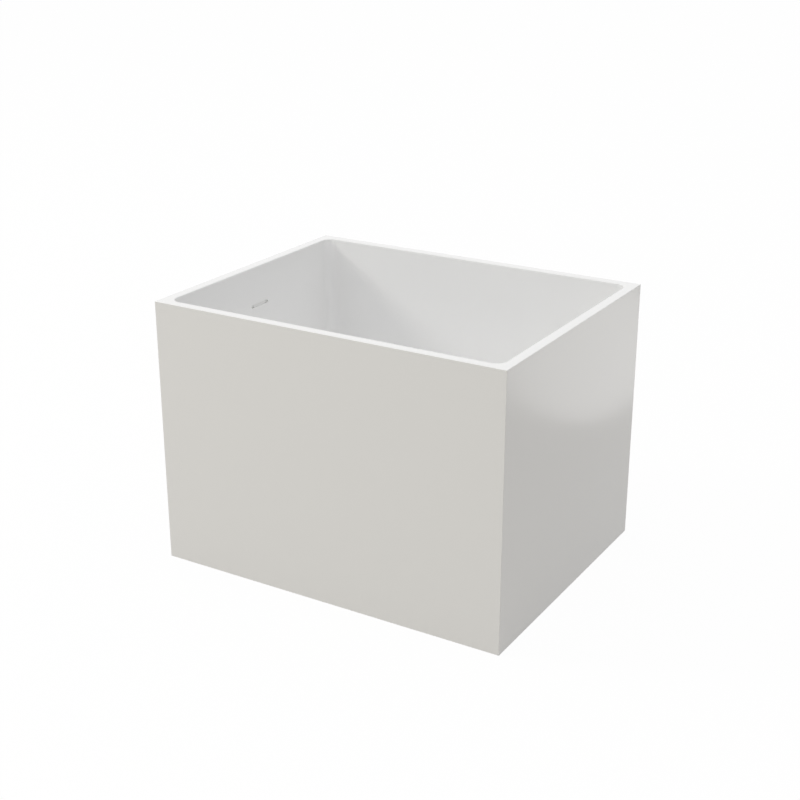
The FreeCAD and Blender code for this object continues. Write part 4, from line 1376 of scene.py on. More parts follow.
@dataclass
class OverflowHose:
    """Ribbed hose from the overflow box to the waste body, with its two clips."""

    plastic: "Finish"
    steel: tuple["Finish", "Finish"]
    radius: float = 12.0 * MM
    root_radius: float = 10.6 * MM
    bore_radius: float = 9.2 * MM
    cuff: float = 24.0 * MM
    cuff_edge: float = 0.5 * MM
    cuff_margin: float = 2.0 * MM
    rib_pitch: float = 5.0 * MM
    rib_flatness: float = 0.7
    rib_rows: int = 8
    side_gap: float = 2.0 * MM
    foot_run: float = 8.0 * MM
    clip_gap: float = 0.05 * MM
    band: float = 0.8 * MM
    columns: int = 44
    sharp_degrees: float = 50.0

    def middle_line(self) -> tuple[Array, Array, Array, Array]:
        """Lay out the straight runs and arcs of the middle line, in the (X, Z) plane.

        The hose drops from the box, leans aside in one double bend, drops beside the
        batten, and turns towards the waste in a quarter circle. Where the double bend
        shifts the line by s over a drop d, it turns by 2 atan(s / d) and back at the rate
        2 sin(turn) / d.

        Returns:
            Start, heading, length and turn rate of each.
        """
        high = box_of("overflow_hose")[1]
        cuff_low, cuff_high = box_of("hose_clip_lower")
        level = (cuff_low[2] + cuff_high[2]) / 2
        start_x = box_of("hose_clip_upper")[0][0] + self.radius + self.clip_gap + self.band
        drop_x = box_of("foot_batten_left")[1][0] + self.radius + self.side_gap
        bend = high[0] - self.cuff - self.cuff_margin - drop_x
        lean_top, lean_low = high[2] - self.cuff, level + bend + self.foot_run
        turn = 2 * math.atan((drop_x - start_x) / (lean_top - lean_low))
        rate = 2 * math.sin(turn) / (lean_top - lean_low)
        arc = turn / rate
        down = -QUARTER
        rows = np.array([
            (start_x, high[2], down, self.cuff, 0),
            (start_x, lean_top, down, arc, rate),
            ((start_x + drop_x) / 2, (lean_top + lean_low) / 2, down + turn, arc, -rate),
            (drop_x, lean_low, down, self.foot_run, 0),
            (drop_x, level + bend, down, bend * QUARTER, 1 / bend),
            (drop_x + bend, level, 0, high[0] - drop_x - bend, 0)])
        return rows[:, :2], rows[:, 2], rows[:, 3], rows[:, 4]

    def stations(self, along: Array) -> tuple[Array, Array]:
        """Find points and headings of the middle line.

        In an arc that starts at heading a and turns at rate k, the point at distance s
        is start + (sin(a + ks) - sin a, cos a - cos(a + ks)) / k.

        Args:
            along: Distances along the line.

        Returns:
            The points and the headings.
        """
        start, heading, length, rate = self.middle_line()
        ends = np.cumsum(length)
        piece = np.minimum(np.searchsorted(ends, along), len(ends) - 1)
        inside = along - (ends - length)[piece]
        begin, bend = heading[piece], rate[piece]
        end = begin + bend * inside
        safe = np.where(bend == 0, 1, bend)
        x = np.where(bend == 0, inside * np.cos(begin), (np.sin(end) - np.sin(begin)) / safe)
        z = np.where(bend == 0, inside * np.sin(begin), (np.cos(begin) - np.cos(end)) / safe)
        return start[piece] + np.stack([x, z], axis=-1), end

    def tube(self, along: Array, radius: Array) -> Array:
        """Set circles at right angles to the middle line.

        A point is the line's point, plus radius cos(angle) square to the line in its plane,
        plus radius sin(angle) along Y.

        Args:
            along: Distance of each circle along the line.
            radius: Radius of each circle.

        Returns:
            One row of points for each circle.
        """
        place, heading = self.stations(along)
        angle = np.arange(self.columns) / self.columns * WHOLE
        aside, across = radius[:, None] * np.cos(angle), radius[:, None] * np.sin(angle)
        x = place[:, :1] - np.sin(heading)[:, None] * aside
        z = place[:, 1:] + np.cos(heading)[:, None] * aside
        return np.stack([x, across, z], axis=-1)

    def hose(self) -> Skin:
        """Make the hose, with plain cuffs and round ribs.

        The ribs' radius is root + (crest - root) (0.5 + 0.5 cos(turn)) ^ flatness, with one
        turn for each rib. Both ends are rounded through 0, 0.3 and 1 of the cuff's edge.

        Returns:
            The hose.
        """
        length = self.middle_line()[2].sum()
        ribbed = length - 2 * self.cuff
        ribs = int(ribbed / self.rib_pitch)
        share = np.arange(ribs * self.rib_rows + 1) / self.rib_rows
        wave = (0.5 + 0.5 * np.cos(share * WHOLE)) ** self.rib_flatness
        lead = self.cuff_edge * np.array([0, 0.3, 1])
        edge = self.radius - lead[::-1]
        relief = self.root_radius + (self.radius - self.root_radius) * wave
        along = np.concatenate([lead, self.cuff + share / ribs * ribbed, length - lead[::-1]])
        radius = np.concatenate([edge, relief, edge[::-1]])
        inside = np.concatenate([[0], np.linspace(self.cuff, length - self.cuff, ribs), [length]])
        outer = self.tube(along, radius)
        inner = self.tube(inside, np.full_like(inside, self.bore_radius))
        return Skin(np.concatenate([outer, inner[::-1]]), True)

    def build(self) -> None:
        """Make hose and clips and set them on the tub."""
        piece = new_piece("ribbed_hose", [self.hose()], self.sharp_degrees)
        finish(piece, "tub", "hose_plastic", self.plastic, "overflow_hose")
        for name, node, axis, look in (("upper_clip", "hose_clip_upper", Axis.Z, self.steel[0]),
                                       ("lower_clip", "hose_clip_lower", Axis.X, self.steel[1])):
            clip = HoseClip(node, axis, self.radius + self.clip_gap, self.band)
            piece = new_piece(name, [clip.strap(), clip.housing(), clip.worm()])
            finish(piece, "tub", "stainless", look, node)


# Finishes

@dataclass(frozen=True)
class Noise:
    """Inputs of a noise pattern, named as on its node."""

    scale: float
    detail: float
    roughness: float
    distortion: float = 0.0


class Nodes:
    """A node tree and short ways to add nodes to it."""

    def __init__(self, tree: bpy.types.NodeTree) -> None:
        """Take up the tree."""
        self.tree = tree

    def add(self, kind: str, inputs: Mapping[str | int, Any] | None = None,
            **settings: Any) -> bpy.types.Node:
        """Add a node.

        Args:
            kind: The node type without its prefix.
            inputs: Values or sockets for its inputs, by name or number.
            settings: Attributes of the node.

        Returns:
            The node.
        """
        node = self.tree.nodes.new("ShaderNode" + kind)
        for name, value in settings.items():
            setattr(node, name, value)
        for name, value in (inputs or {}).items():
            self.feed(node.inputs[name], value)
        return node

    def feed(self, target: Socket, value: Any) -> None:
        """Join a socket to an input, or set the input to a value.

        Args:
            target: The input.
            value: The socket, number or vector, or a colour, which gets an alpha of 1.
        """
        if isinstance(value, bpy.types.NodeSocket):
            self.tree.links.new(value, target)
        elif isinstance(value, tuple) and target.type == "RGBA":
            target.default_value = (*value, 1.0)
        else:
            target.default_value = value

    def sums(self, operation: str, first: Any, second: Any = 0.0) -> Socket:
        """Arithmetic on one or two values."""
        return self.add("Math", {0: first, 1: second}, operation=operation).outputs[0]

    def blend(self, share: Any, first: Any, second: Any) -> Socket:
        """Mix two colours.

        Args:
            share: Share of the second.
            first: A colour.
            second: Another.

        Returns:
            The mix.
        """
        node = self.add("Mix", {0: share}, data_type="RGBA")
        self.feed(node.inputs[6], first)
        self.feed(node.inputs[7], second)
        return node.outputs[2]

    def show(self, output: str, share: Any, first: Socket, second: Socket) -> None:
        """Lead a mix of two shaders to the tree's output node."""
        mix = self.add("MixShader", {0: share, 1: first, 2: second}).outputs[0]
        self.feed(self.tree.nodes[output].inputs["Surface"], mix)

    def seen_white(self) -> Socket:
        """Tell what is seen from what lights.

        Returns:
            1 for rays from the camera, from a mirror or through glass, and 0 for the light
            that falls on things.
        """
        rays = self.add("LightPath").outputs
        seen = rays["Is Camera Ray"]
        for name in ("Is Glossy Ray", "Is Transmission Ray"):
            seen = self.sums("MAXIMUM", seen, rays[name])
        return seen


class NodeSheet(Nodes):
    """A new material, and patterns to draw on it."""

    def __init__(self, name: str) -> None:
        """Make the material.

        Args:
            name: Its name.
        """
        self.material = bpy.data.materials.new(name)
        self.material.use_nodes = True
        super().__init__(self.material.node_tree)
        self.surface = self.tree.nodes["Principled BSDF"]
        self.place = self.add("TexCoord").outputs["Object"]

    def set(self, **inputs: Any) -> None:
        """Set inputs of the surface shader, with underscores for the spaces in their names."""
        for name, value in inputs.items():
            self.feed(self.surface.inputs[name.replace("_", " ")], value)

    def scaled(self, factors: Triple, turn: Triple = (0.0, 0.0, 0.0)) -> Socket:
        """The object's coordinates, turned and then stretched."""
        turned_place = self.add("Mapping", {"Vector": self.place, "Rotation": turn}).outputs[0]
        return self.add("Mapping", {"Vector": turned_place, "Scale": factors}).outputs[0]

    def noise(self, kind: Noise, place: Socket | None = None) -> Socket:
        """Soft random pattern, about 0 to 1."""
        inputs = {name.title(): value for name, value in vars(kind).items()}
        return self.add("TexNoise", {"Vector": place or self.place, **inputs}).outputs[0]

    def cells(self, scale: float, place: Socket | None = None) -> bpy.types.Node:
        """Random cells."""
        return self.add("TexVoronoi", {"Vector": place or self.place, "Scale": scale})

    def spread(self, value: Socket, low: float, high: float, to_low: float = 0.0,
               to_high: float = 1.0) -> Socket:
        """Map one range of values to another, held at its ends."""
        return self.add("MapRange", {"Value": value, "From Min": low, "From Max": high, "To Min": to_low,
                                     "To Max": to_high}).outputs[0]

    def bump(self, height: Socket, depth: float, strength: float) -> Socket:
        """Normals of a relief whose full height is a depth in metres."""
        return self.add("Bump", {"Height": height, "Distance": depth, "Strength": strength}).outputs[0]


@dataclass(frozen=True)
class Finish:
    """What every finish has: a name, a colour and a roughness."""

    name: str
    colour: Colour
    roughness: float

    def material(self) -> bpy.types.Material:
        """Make the finish's material once, and use it again after that.

        Returns:
            The material.
        """
        found = bpy.data.materials.get(self.name)
        if found:
            return found
        sheet = NodeSheet(self.name)
        self.draw(sheet)
        return sheet.material

    def draw(self, sheet: NodeSheet) -> None:
        """Lay the finish out on a node sheet."""
        raise NotImplementedError

    def uneven(self, sheet: NodeSheet, pattern: Socket, span: Span, shares: Span) -> Socket:
        """Roughness that follows a span of a pattern, between two shares of the finish's own."""
        return sheet.spread(pattern, *span, self.roughness * shares[0], self.roughness * shares[1])


def shaded(colour: Colour, share: float) -> Colour:
    """Colour with each part multiplied by a share."""
    return tuple(part * share for part in colour)


@dataclass(frozen=True)
class GlossAcrylic(Finish):
    """Pressed white acrylic: glossy, with the faint ripple of a formed sheet."""

    tint: Colour = (1.0, 0.999, 0.996)
    cloud: Noise = Noise(5.0, 4.0, 0.6)
    haze: Noise = Noise(42.0, 5.0, 0.65)
    haze_span: Span = (0.25, 0.75)
    haze_gloss: Span = (0.88, 1.15)
    ripple: Noise = Noise(34.0, 2.0, 0.4)
    ripple_depth: float = 0.03 * MM
    ripple_strength: float = 0.35
    refraction: float = 1.49

    def draw(self, sheet: NodeSheet) -> None:
        """Draw faint clouding of colour and gloss, and a very shallow ripple.

        Args:
            sheet: The node sheet to draw on.
        """
        clouded = tuple(part * factor for part, factor in zip(self.colour, self.tint))
        sheet.set(Base_Color=sheet.blend(sheet.noise(self.cloud), self.colour, clouded),
                  Roughness=self.uneven(sheet, sheet.noise(self.haze), self.haze_span, self.haze_gloss),
                  IOR=self.refraction,
                  Normal=sheet.bump(sheet.noise(self.ripple), self.ripple_depth, self.ripple_strength))


@dataclass(frozen=True)
class StrandLaminate(Finish):
    """Chopped glass strands in pale resin, rolled on by hand."""

    strand: Colour = (0.80, 0.81, 0.74)
    strand_share: float = 0.75
    strand_length: float = 45 * MM
    streak_width: float = 4.8 * MM
    streaks: Noise = Noise(1.0, 1.5, 0.4, 0.35)
    streak_span: Span = (0.56, 0.66)
    layers: tuple[Pair, ...] = ((0.35, 0.0), (1.42, 0.6), (2.45, 1.1))
    pools: Noise = Noise(17.0, 4.0, 0.6)
    pool_shade: float = 0.86
    pool_gloss: Span = (0.75, 1.2)
    strand_relief: float = 0.6
    pool_relief: float = 0.7
    relief_depth: float = 0.35 * MM
    relief_strength: float = 0.8
    refraction: float = 1.53

    def strands(self, sheet: NodeSheet, turn: float, offset: float) -> Socket:
        """Draw one layer of strands: a noise stretched along them, thresholded to thin streaks.

        The noise is turned by 0.7 turn + offset, turn, and 1.7 turn + offset about X, Y and Z.

        Args:
            sheet: The node sheet to draw on.
            turn: Angle of the strands.
            offset: Tilt that tells the layer from the others.

        Returns:
            1 on the strands and 0 between them.
        """
        factors = (1 / self.streak_width, 1 / self.strand_length, 1 / self.streak_width)
        place = sheet.scaled(factors, (turn * 0.7 + offset, turn, turn * 1.7 + offset))
        return sheet.spread(sheet.noise(self.streaks, place), *self.streak_span)

    def draw(self, sheet: NodeSheet) -> None:
        """Draw three crossing layers of strands, resin pools between them, and their relief.

        Args:
            sheet: The node sheet to draw on.
        """
        first, second, third = (self.strands(sheet, turn, offset) for turn, offset in self.layers)
        mat = sheet.sums("MAXIMUM", sheet.sums("MAXIMUM", first, second), third)
        pools = sheet.noise(self.pools)
        resin = sheet.blend(pools, self.colour, shaded(self.colour, self.pool_shade))
        relief = sheet.sums("ADD", sheet.sums("MULTIPLY", mat, self.strand_relief),
                            sheet.sums("MULTIPLY", pools, self.pool_relief))
        sheet.set(Base_Color=sheet.blend(sheet.sums("MULTIPLY", mat, self.strand_share), resin, self.strand),
                  Roughness=self.uneven(sheet, pools, NOISE_SPAN, self.pool_gloss), IOR=self.refraction,
                  Normal=sheet.bump(relief, self.relief_depth, self.relief_strength))


@dataclass(frozen=True)
class Plywood(Finish):
    """Birch plywood: grain on its two faces and bare plies on its edges."""

    stack: Axis = Axis.Z
    ply: float = 1.4 * MM
    dark: Colour = (0.44, 0.27, 0.13)
    along_grain: float = 1.4
    across_grain: float = 9.0
    through_stack: float = 60.0
    grain: Noise = Noise(9.0, 6.0, 0.62, 0.6)
    grain_span: Span = (0.3, 0.72)
    grain_shade: float = 0.72
    grain_gloss: Span = (0.9, 1.1)
    pores: Noise = Noise(70.0, 3.0, 0.7)
    pore_span: Span = (0.58, 0.72)
    pore_share: float = 0.45
    ply_shade: float = 0.62
    fibre: Noise = Noise(420.0, 3.0, 0.6)
    fibre_share: float = 0.5
    glue_width: float = 0.12
    glue_share: float = 0.55
    relief_depth: float = 0.12 * MM
    relief_strength: float = 0.6
    facing_limit: float = 0.7

    def draw(self, sheet: NodeSheet) -> None:
        """Draw grain where the surface faces along the stack, and alternating plies where it doesn't.

        Args:
            sheet: The node sheet to draw on.
        """
        factors = [self.across_grain] * 3
        factors[self.stack.value] = self.through_stack
        factors[1 if self.stack is Axis.X else 0] = self.along_grain
        place = sheet.scaled(tuple(factors))
        grain = sheet.noise(self.grain, place)
        pores = sheet.spread(sheet.noise(self.pores, place), *self.pore_span)
        face = sheet.blend(sheet.spread(grain, *self.grain_span), self.colour,
                           shaded(self.colour, self.grain_shade))
        face = sheet.blend(sheet.sums("MULTIPLY", pores, self.pore_share), face, self.dark)
        parts = sheet.add("SeparateXYZ", {0: sheet.place}).outputs
        count = sheet.sums("DIVIDE", parts[self.stack.value], self.ply)
        odd = sheet.sums("GREATER_THAN", sheet.sums("FRACT", sheet.sums("MULTIPLY", count, 0.5)), 0.5)
        glue = sheet.sums("LESS_THAN", sheet.sums("FRACT", count), self.glue_width)
        edge = sheet.blend(odd, self.colour, shaded(self.colour, self.ply_shade))
        for pattern, share in ((sheet.noise(self.fibre), self.fibre_share), (glue, self.glue_share)):
            edge = sheet.blend(sheet.sums("MULTIPLY", pattern, share), edge, self.dark)
        normal = sheet.add("NewGeometry").outputs["Normal"]
        facing = sheet.add("VectorMath", {0: normal, 1: self.stack.vector},
                           operation="DOT_PRODUCT").outputs["Value"]
        on_face = sheet.sums("GREATER_THAN", sheet.sums("ABSOLUTE", facing), self.facing_limit)
        sheet.set(Base_Color=sheet.blend(on_face, edge, face),
                  Roughness=self.uneven(sheet, grain, NOISE_SPAN, self.grain_gloss),
                  Normal=sheet.bump(sheet.sums("ADD", grain, pores), self.relief_depth, self.relief_strength))


@dataclass(frozen=True)
class SpangledSteel(Finish):
    """Hot-dip galvanised steel, with its crystals and a dull bloom."""

    crystal: float = 11 * MM
    crystal_shade: float = 0.74
    crystal_gloss: Span = (0.75, 1.3)
    warp_scale: float = 55.0
    warp_detail: float = 3.0
    warp: float = 12 * MM
    bloom: Noise = Noise(24.0, 5.0, 0.6)
    bloom_span: Span = (0.42, 0.75)
    bloom_share: float = 0.5
    bloom_colour: Colour = (0.62, 0.63, 0.63)
    bloom_metal: float = 0.72
    relief_depth: float = 0.03 * MM
    relief_strength: float = 0.5

    def draw(self, sheet: NodeSheet) -> None:
        """Draw crystals of differing shade and gloss, under a cloudy bloom.

        Args:
            sheet: The node sheet to draw on.
        """
        warp = sheet.add("TexNoise", {"Vector": sheet.place, "Scale": self.warp_scale,
                                      "Detail": self.warp_detail})
        bent = sheet.add("VectorMath", {0: warp.outputs["Color"], 1: (self.warp,) * 3}, operation="MULTIPLY")
        place = sheet.add("VectorMath", {0: sheet.place, 1: bent.outputs[0]}, operation="ADD").outputs[0]
        shade = sheet.add("SeparateColor", {0: sheet.cells(1 / self.crystal, place).outputs["Color"]}).outputs
        bloom = sheet.spread(sheet.noise(self.bloom), *self.bloom_span)
        metal = sheet.blend(shade[0], self.colour, shaded(self.colour, self.crystal_shade))
        dulled = sheet.blend(sheet.sums("MULTIPLY", bloom, self.bloom_share), metal, self.bloom_colour)
        sheet.set(Base_Color=dulled, Metallic=sheet.spread(bloom, 0.0, 1.0, 1.0, self.bloom_metal),
                  Roughness=self.uneven(sheet, shade[1], (0.0, 1.0), self.crystal_gloss),
                  Normal=sheet.bump(sheet.sums("ADD", shade[2], bloom), self.relief_depth,
                                    self.relief_strength))


@dataclass(frozen=True)
class PlatedZinc(Finish):
    """Bright zinc plate with its faint blue and straw tints."""

    straw: Colour = (0.78, 0.72, 0.56)
    patch: Noise = Noise(130.0, 3.0, 0.55)
    patch_span: Span = (0.4, 0.66)
    wear: Noise = Noise(700.0, 3.0, 0.6)
    wear_gloss: Span = (0.7, 1.4)
    wear_depth: float = 0.01 * MM
    wear_strength: float = 0.5

    def draw(self, sheet: NodeSheet) -> None:
        """Draw patches of tint, and fine wear.

        Args:
            sheet: The node sheet to draw on.
        """
        patch, wear = sheet.spread(sheet.noise(self.patch), *self.patch_span), sheet.noise(self.wear)
        sheet.set(Base_Color=sheet.blend(patch, self.colour, self.straw), Metallic=1.0,
                  Roughness=self.uneven(sheet, wear, NOISE_SPAN, self.wear_gloss),
                  Normal=sheet.bump(wear, self.wear_depth, self.wear_strength))


@dataclass(frozen=True)
class Chrome(Finish):
    """Polished chrome plate with the faintest water marks."""

    mark: Colour = (0.70, 0.70, 0.69)
    mark_share: float = 0.12
    mark_dulling: float = 0.05
    drop_scale: float = 160.0
    drop_span: Span = (0.20, 0.34)
    smear: Noise = Noise(36.0, 4.0, 0.6)
    smear_span: Span = (0.5, 0.62)
    gloss_span: Span = (0.35, 0.7)
    smear_gloss: Span = (1.0, 2.4)

    def draw(self, sheet: NodeSheet) -> None:
        """Draw round dried-drop marks, and light smears in the gloss.

        Args:
            sheet: The node sheet to draw on.
        """
        drops = sheet.spread(sheet.cells(self.drop_scale).outputs["Distance"], *self.drop_span, 1.0, 0.0)
        smear = sheet.noise(self.smear)
        marks = sheet.sums("MULTIPLY", drops, sheet.spread(smear, *self.smear_span))
        tint = sheet.sums("MULTIPLY", marks, self.mark_share)
        dulling = sheet.sums("MULTIPLY", marks, self.mark_dulling)
        gloss = self.uneven(sheet, smear, self.gloss_span, self.smear_gloss)
        sheet.set(Base_Color=sheet.blend(tint, self.colour, self.mark), Metallic=1.0,
                  Roughness=sheet.sums("ADD", gloss, dulling))


@dataclass(frozen=True)
class Rubber(Finish):
    """Black rubber with a fine grain and a dusty bloom."""

    bloom: Colour = (0.11, 0.11, 0.108)
    dust: Noise = Noise(48.0, 5.0, 0.62)
    dust_span: Span = (0.42, 0.72)
    dust_gloss: Span = (0.9, 1.12)
    grain: Noise = Noise(1500.0, 3.0, 0.6)
    grain_depth: float = 0.05 * MM
    grain_strength: float = 0.5

    def draw(self, sheet: NodeSheet) -> None:
        """Draw fine grain, with bloom in cloudy patches.

        Args:
            sheet: The node sheet to draw on.
        """
        dust = sheet.spread(sheet.noise(self.dust), *self.dust_span)
        sheet.set(Base_Color=sheet.blend(dust, self.colour, self.bloom),
                  Roughness=self.uneven(sheet, dust, (0.0, 1.0), self.dust_gloss),
                  Normal=sheet.bump(sheet.noise(self.grain), self.grain_depth, self.grain_strength))


@dataclass(frozen=True)
class MouldedPlastic(Finish):
    """Injection-moulded plastic with a fine spark grain and faint flow lines."""

    flow: float = 0.92
    flow_stretch: Triple = (12.0, 12.0, 55.0)
    lines: Noise = Noise(3.0, 4.0, 0.6, 1.2)
    line_span: Span = (0.35, 0.7)
    patch: Noise = Noise(60.0, 3.0, 0.6)
    patch_gloss: Span = (0.88, 1.14)
    grain: Noise = Noise(2100.0, 2.0, 0.6)
    grain_depth: float = 0.02 * MM
    grain_strength: float = 0.6
    refraction: float = 1.5

    def draw(self, sheet: NodeSheet) -> None:
        """Draw flow lines in the colour and a fine grain in the surface.

        Args:
            sheet: The node sheet to draw on.
        """
        lines = sheet.spread(sheet.noise(self.lines, sheet.scaled(self.flow_stretch)), *self.line_span)
        sheet.set(Base_Color=sheet.blend(lines, self.colour, shaded(self.colour, self.flow)),
                  Roughness=self.uneven(sheet, sheet.noise(self.patch), NOISE_SPAN, self.patch_gloss),
                  IOR=self.refraction,
                  Normal=sheet.bump(sheet.noise(self.grain), self.grain_depth, self.grain_strength))


@dataclass(frozen=True)
class BrushedStainless(Finish):
    """Stainless strip, brushed across one axis."""

    axis: Axis = Axis.Z
    along_lines: float = 8.0
    across_lines: float = 900.0
    lines: Noise = Noise(4.0, 4.0, 0.6)
    line_shade: float = 0.85
    line_gloss: Span = (0.7, 1.4)
    line_depth: float = 0.01 * MM
    line_strength: float = 0.6

    def draw(self, sheet: NodeSheet) -> None:
        """Draw fine lines that run round the axis.

        Args:
            sheet: The node sheet to draw on.
        """
        factors = [self.along_lines] * 3
        factors[self.axis.value] = self.across_lines
        lines = sheet.noise(self.lines, sheet.scaled(tuple(factors)))
        sheet.set(Base_Color=sheet.blend(lines, self.colour, shaded(self.colour, self.line_shade)),
                  Metallic=1.0, Roughness=self.uneven(sheet, lines, NOISE_SPAN, self.line_gloss),
                  Normal=sheet.bump(lines, self.line_depth, self.line_strength))


@dataclass(frozen=True)
class Palette:
    """Every finish of the tub."""

    acrylic: GlossAcrylic = GlossAcrylic("gloss_acrylic", (0.93, 0.93, 0.929), 0.19)
    laminate: StrandLaminate = StrandLaminate("strand_laminate", (0.62, 0.66, 0.55), 0.42)
    ply_x: Plywood = Plywood("plywood_across_length", (0.70, 0.52, 0.33), 0.62, Axis.X)
    ply_y: Plywood = Plywood("plywood_across_width", (0.70, 0.52, 0.33), 0.62, Axis.Y)
    ply_z: Plywood = Plywood("plywood_flat", (0.70, 0.52, 0.33), 0.62, Axis.Z)
    galvanised: SpangledSteel = SpangledSteel("spangled_steel", (0.66, 0.68, 0.69), 0.38)
    zinc: PlatedZinc = PlatedZinc("plated_zinc", (0.72, 0.75, 0.79), 0.26)
    chrome: Chrome = Chrome("polished_chrome", (0.86, 0.86, 0.87), 0.035)
    foot_rubber: Rubber = Rubber("foot_rubber", (0.030, 0.030, 0.031), 0.74)
    seal_rubber: Rubber = Rubber("seal_rubber", (0.040, 0.040, 0.042), 0.58)
    grey_plastic: MouldedPlastic = MouldedPlastic("moulded_grey", (0.46, 0.47, 0.48), 0.42)
    hose_plastic: MouldedPlastic = MouldedPlastic("hose_grey", (0.56, 0.57, 0.58), 0.36)
    white_plastic: MouldedPlastic = MouldedPlastic("moulded_white", (0.85, 0.85, 0.84), 0.22, 0.985)
    stainless_z: BrushedStainless = BrushedStainless("stainless_upright", (0.66, 0.66, 0.65), 0.27, Axis.Z)
    stainless_x: BrushedStainless = BrushedStainless("stainless_level", (0.66, 0.66, 0.65), 0.27, Axis.X)


def finish(piece: bpy.types.Object, body: str, slot: str, look: Finish, *nodes: str) -> None:
    """Dress a new piece, and set it on its body in place of the nodes that it stands for.

    Args:
        piece: The piece.
        body: The body that it rides on.
        slot: Not used.
        look: Its finish.
        nodes: The nodes that it replaces.
    """
    piece.data.materials.clear()
    piece.data.materials.append(look.material())
    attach(piece, body)
    if nodes:
        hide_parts(*nodes)
    LOG.info("%s: %d faces, on %s", piece.name, len(piece.data.polygons), body)


def dress_nodes(palette: Palette) -> None:
    """Give every node that is still shown the finish of its slot.

    Args:
        palette: The finishes.
    """
    by_slot: dict[str, Finish] = {
        "acrylic": palette.acrylic, "laminate": palette.laminate, "plywood": palette.ply_z,
        "galvanised_steel": palette.galvanised, "zinc_plate": palette.zinc,
        "foot_rubber": palette.foot_rubber, "chrome": palette.chrome, "seal_rubber": palette.seal_rubber,
        "grey_plastic": palette.grey_plastic, "hose_plastic": palette.hose_plastic,
        "white_plastic": palette.white_plastic, "stainless": palette.stainless_z,
    }
    special: dict[str, Finish] = {"hose_clip_lower": palette.stainless_x}
    for side, look in (("front", palette.ply_y), ("back", palette.ply_y), ("left", palette.ply_x),
                       ("right", palette.ply_x)):
        special["rim_rail_" + side] = special["foot_batten_" + side] = look
    for row in frame["record"]["subparts"]:
        node = frame["nodes"][row["node"]]
        if node.hide_render:
            continue
        look = special.get(node.name, by_slot[row["material_slot"]])
        node.data.materials.clear()
        node.data.materials.append(look.material())
        LOG.info("%s keeps its solid, in %s", node.name, look.name)


# Studio

def heading(azimuth: float, elevation: float) -> Vector:
    """Unit vector for an azimuth from +X towards +Y and an elevation, in degrees."""
    turn, lift = math.radians(azimuth), math.radians(elevation)
    return Vector((math.cos(turn) * math.cos(lift), math.sin(turn) * math.cos(lift), math.sin(lift)))


class LampShape(Enum):
    """Outline of an area lamp."""

    SQUARE = "SQUARE"
    DISK = "DISK"


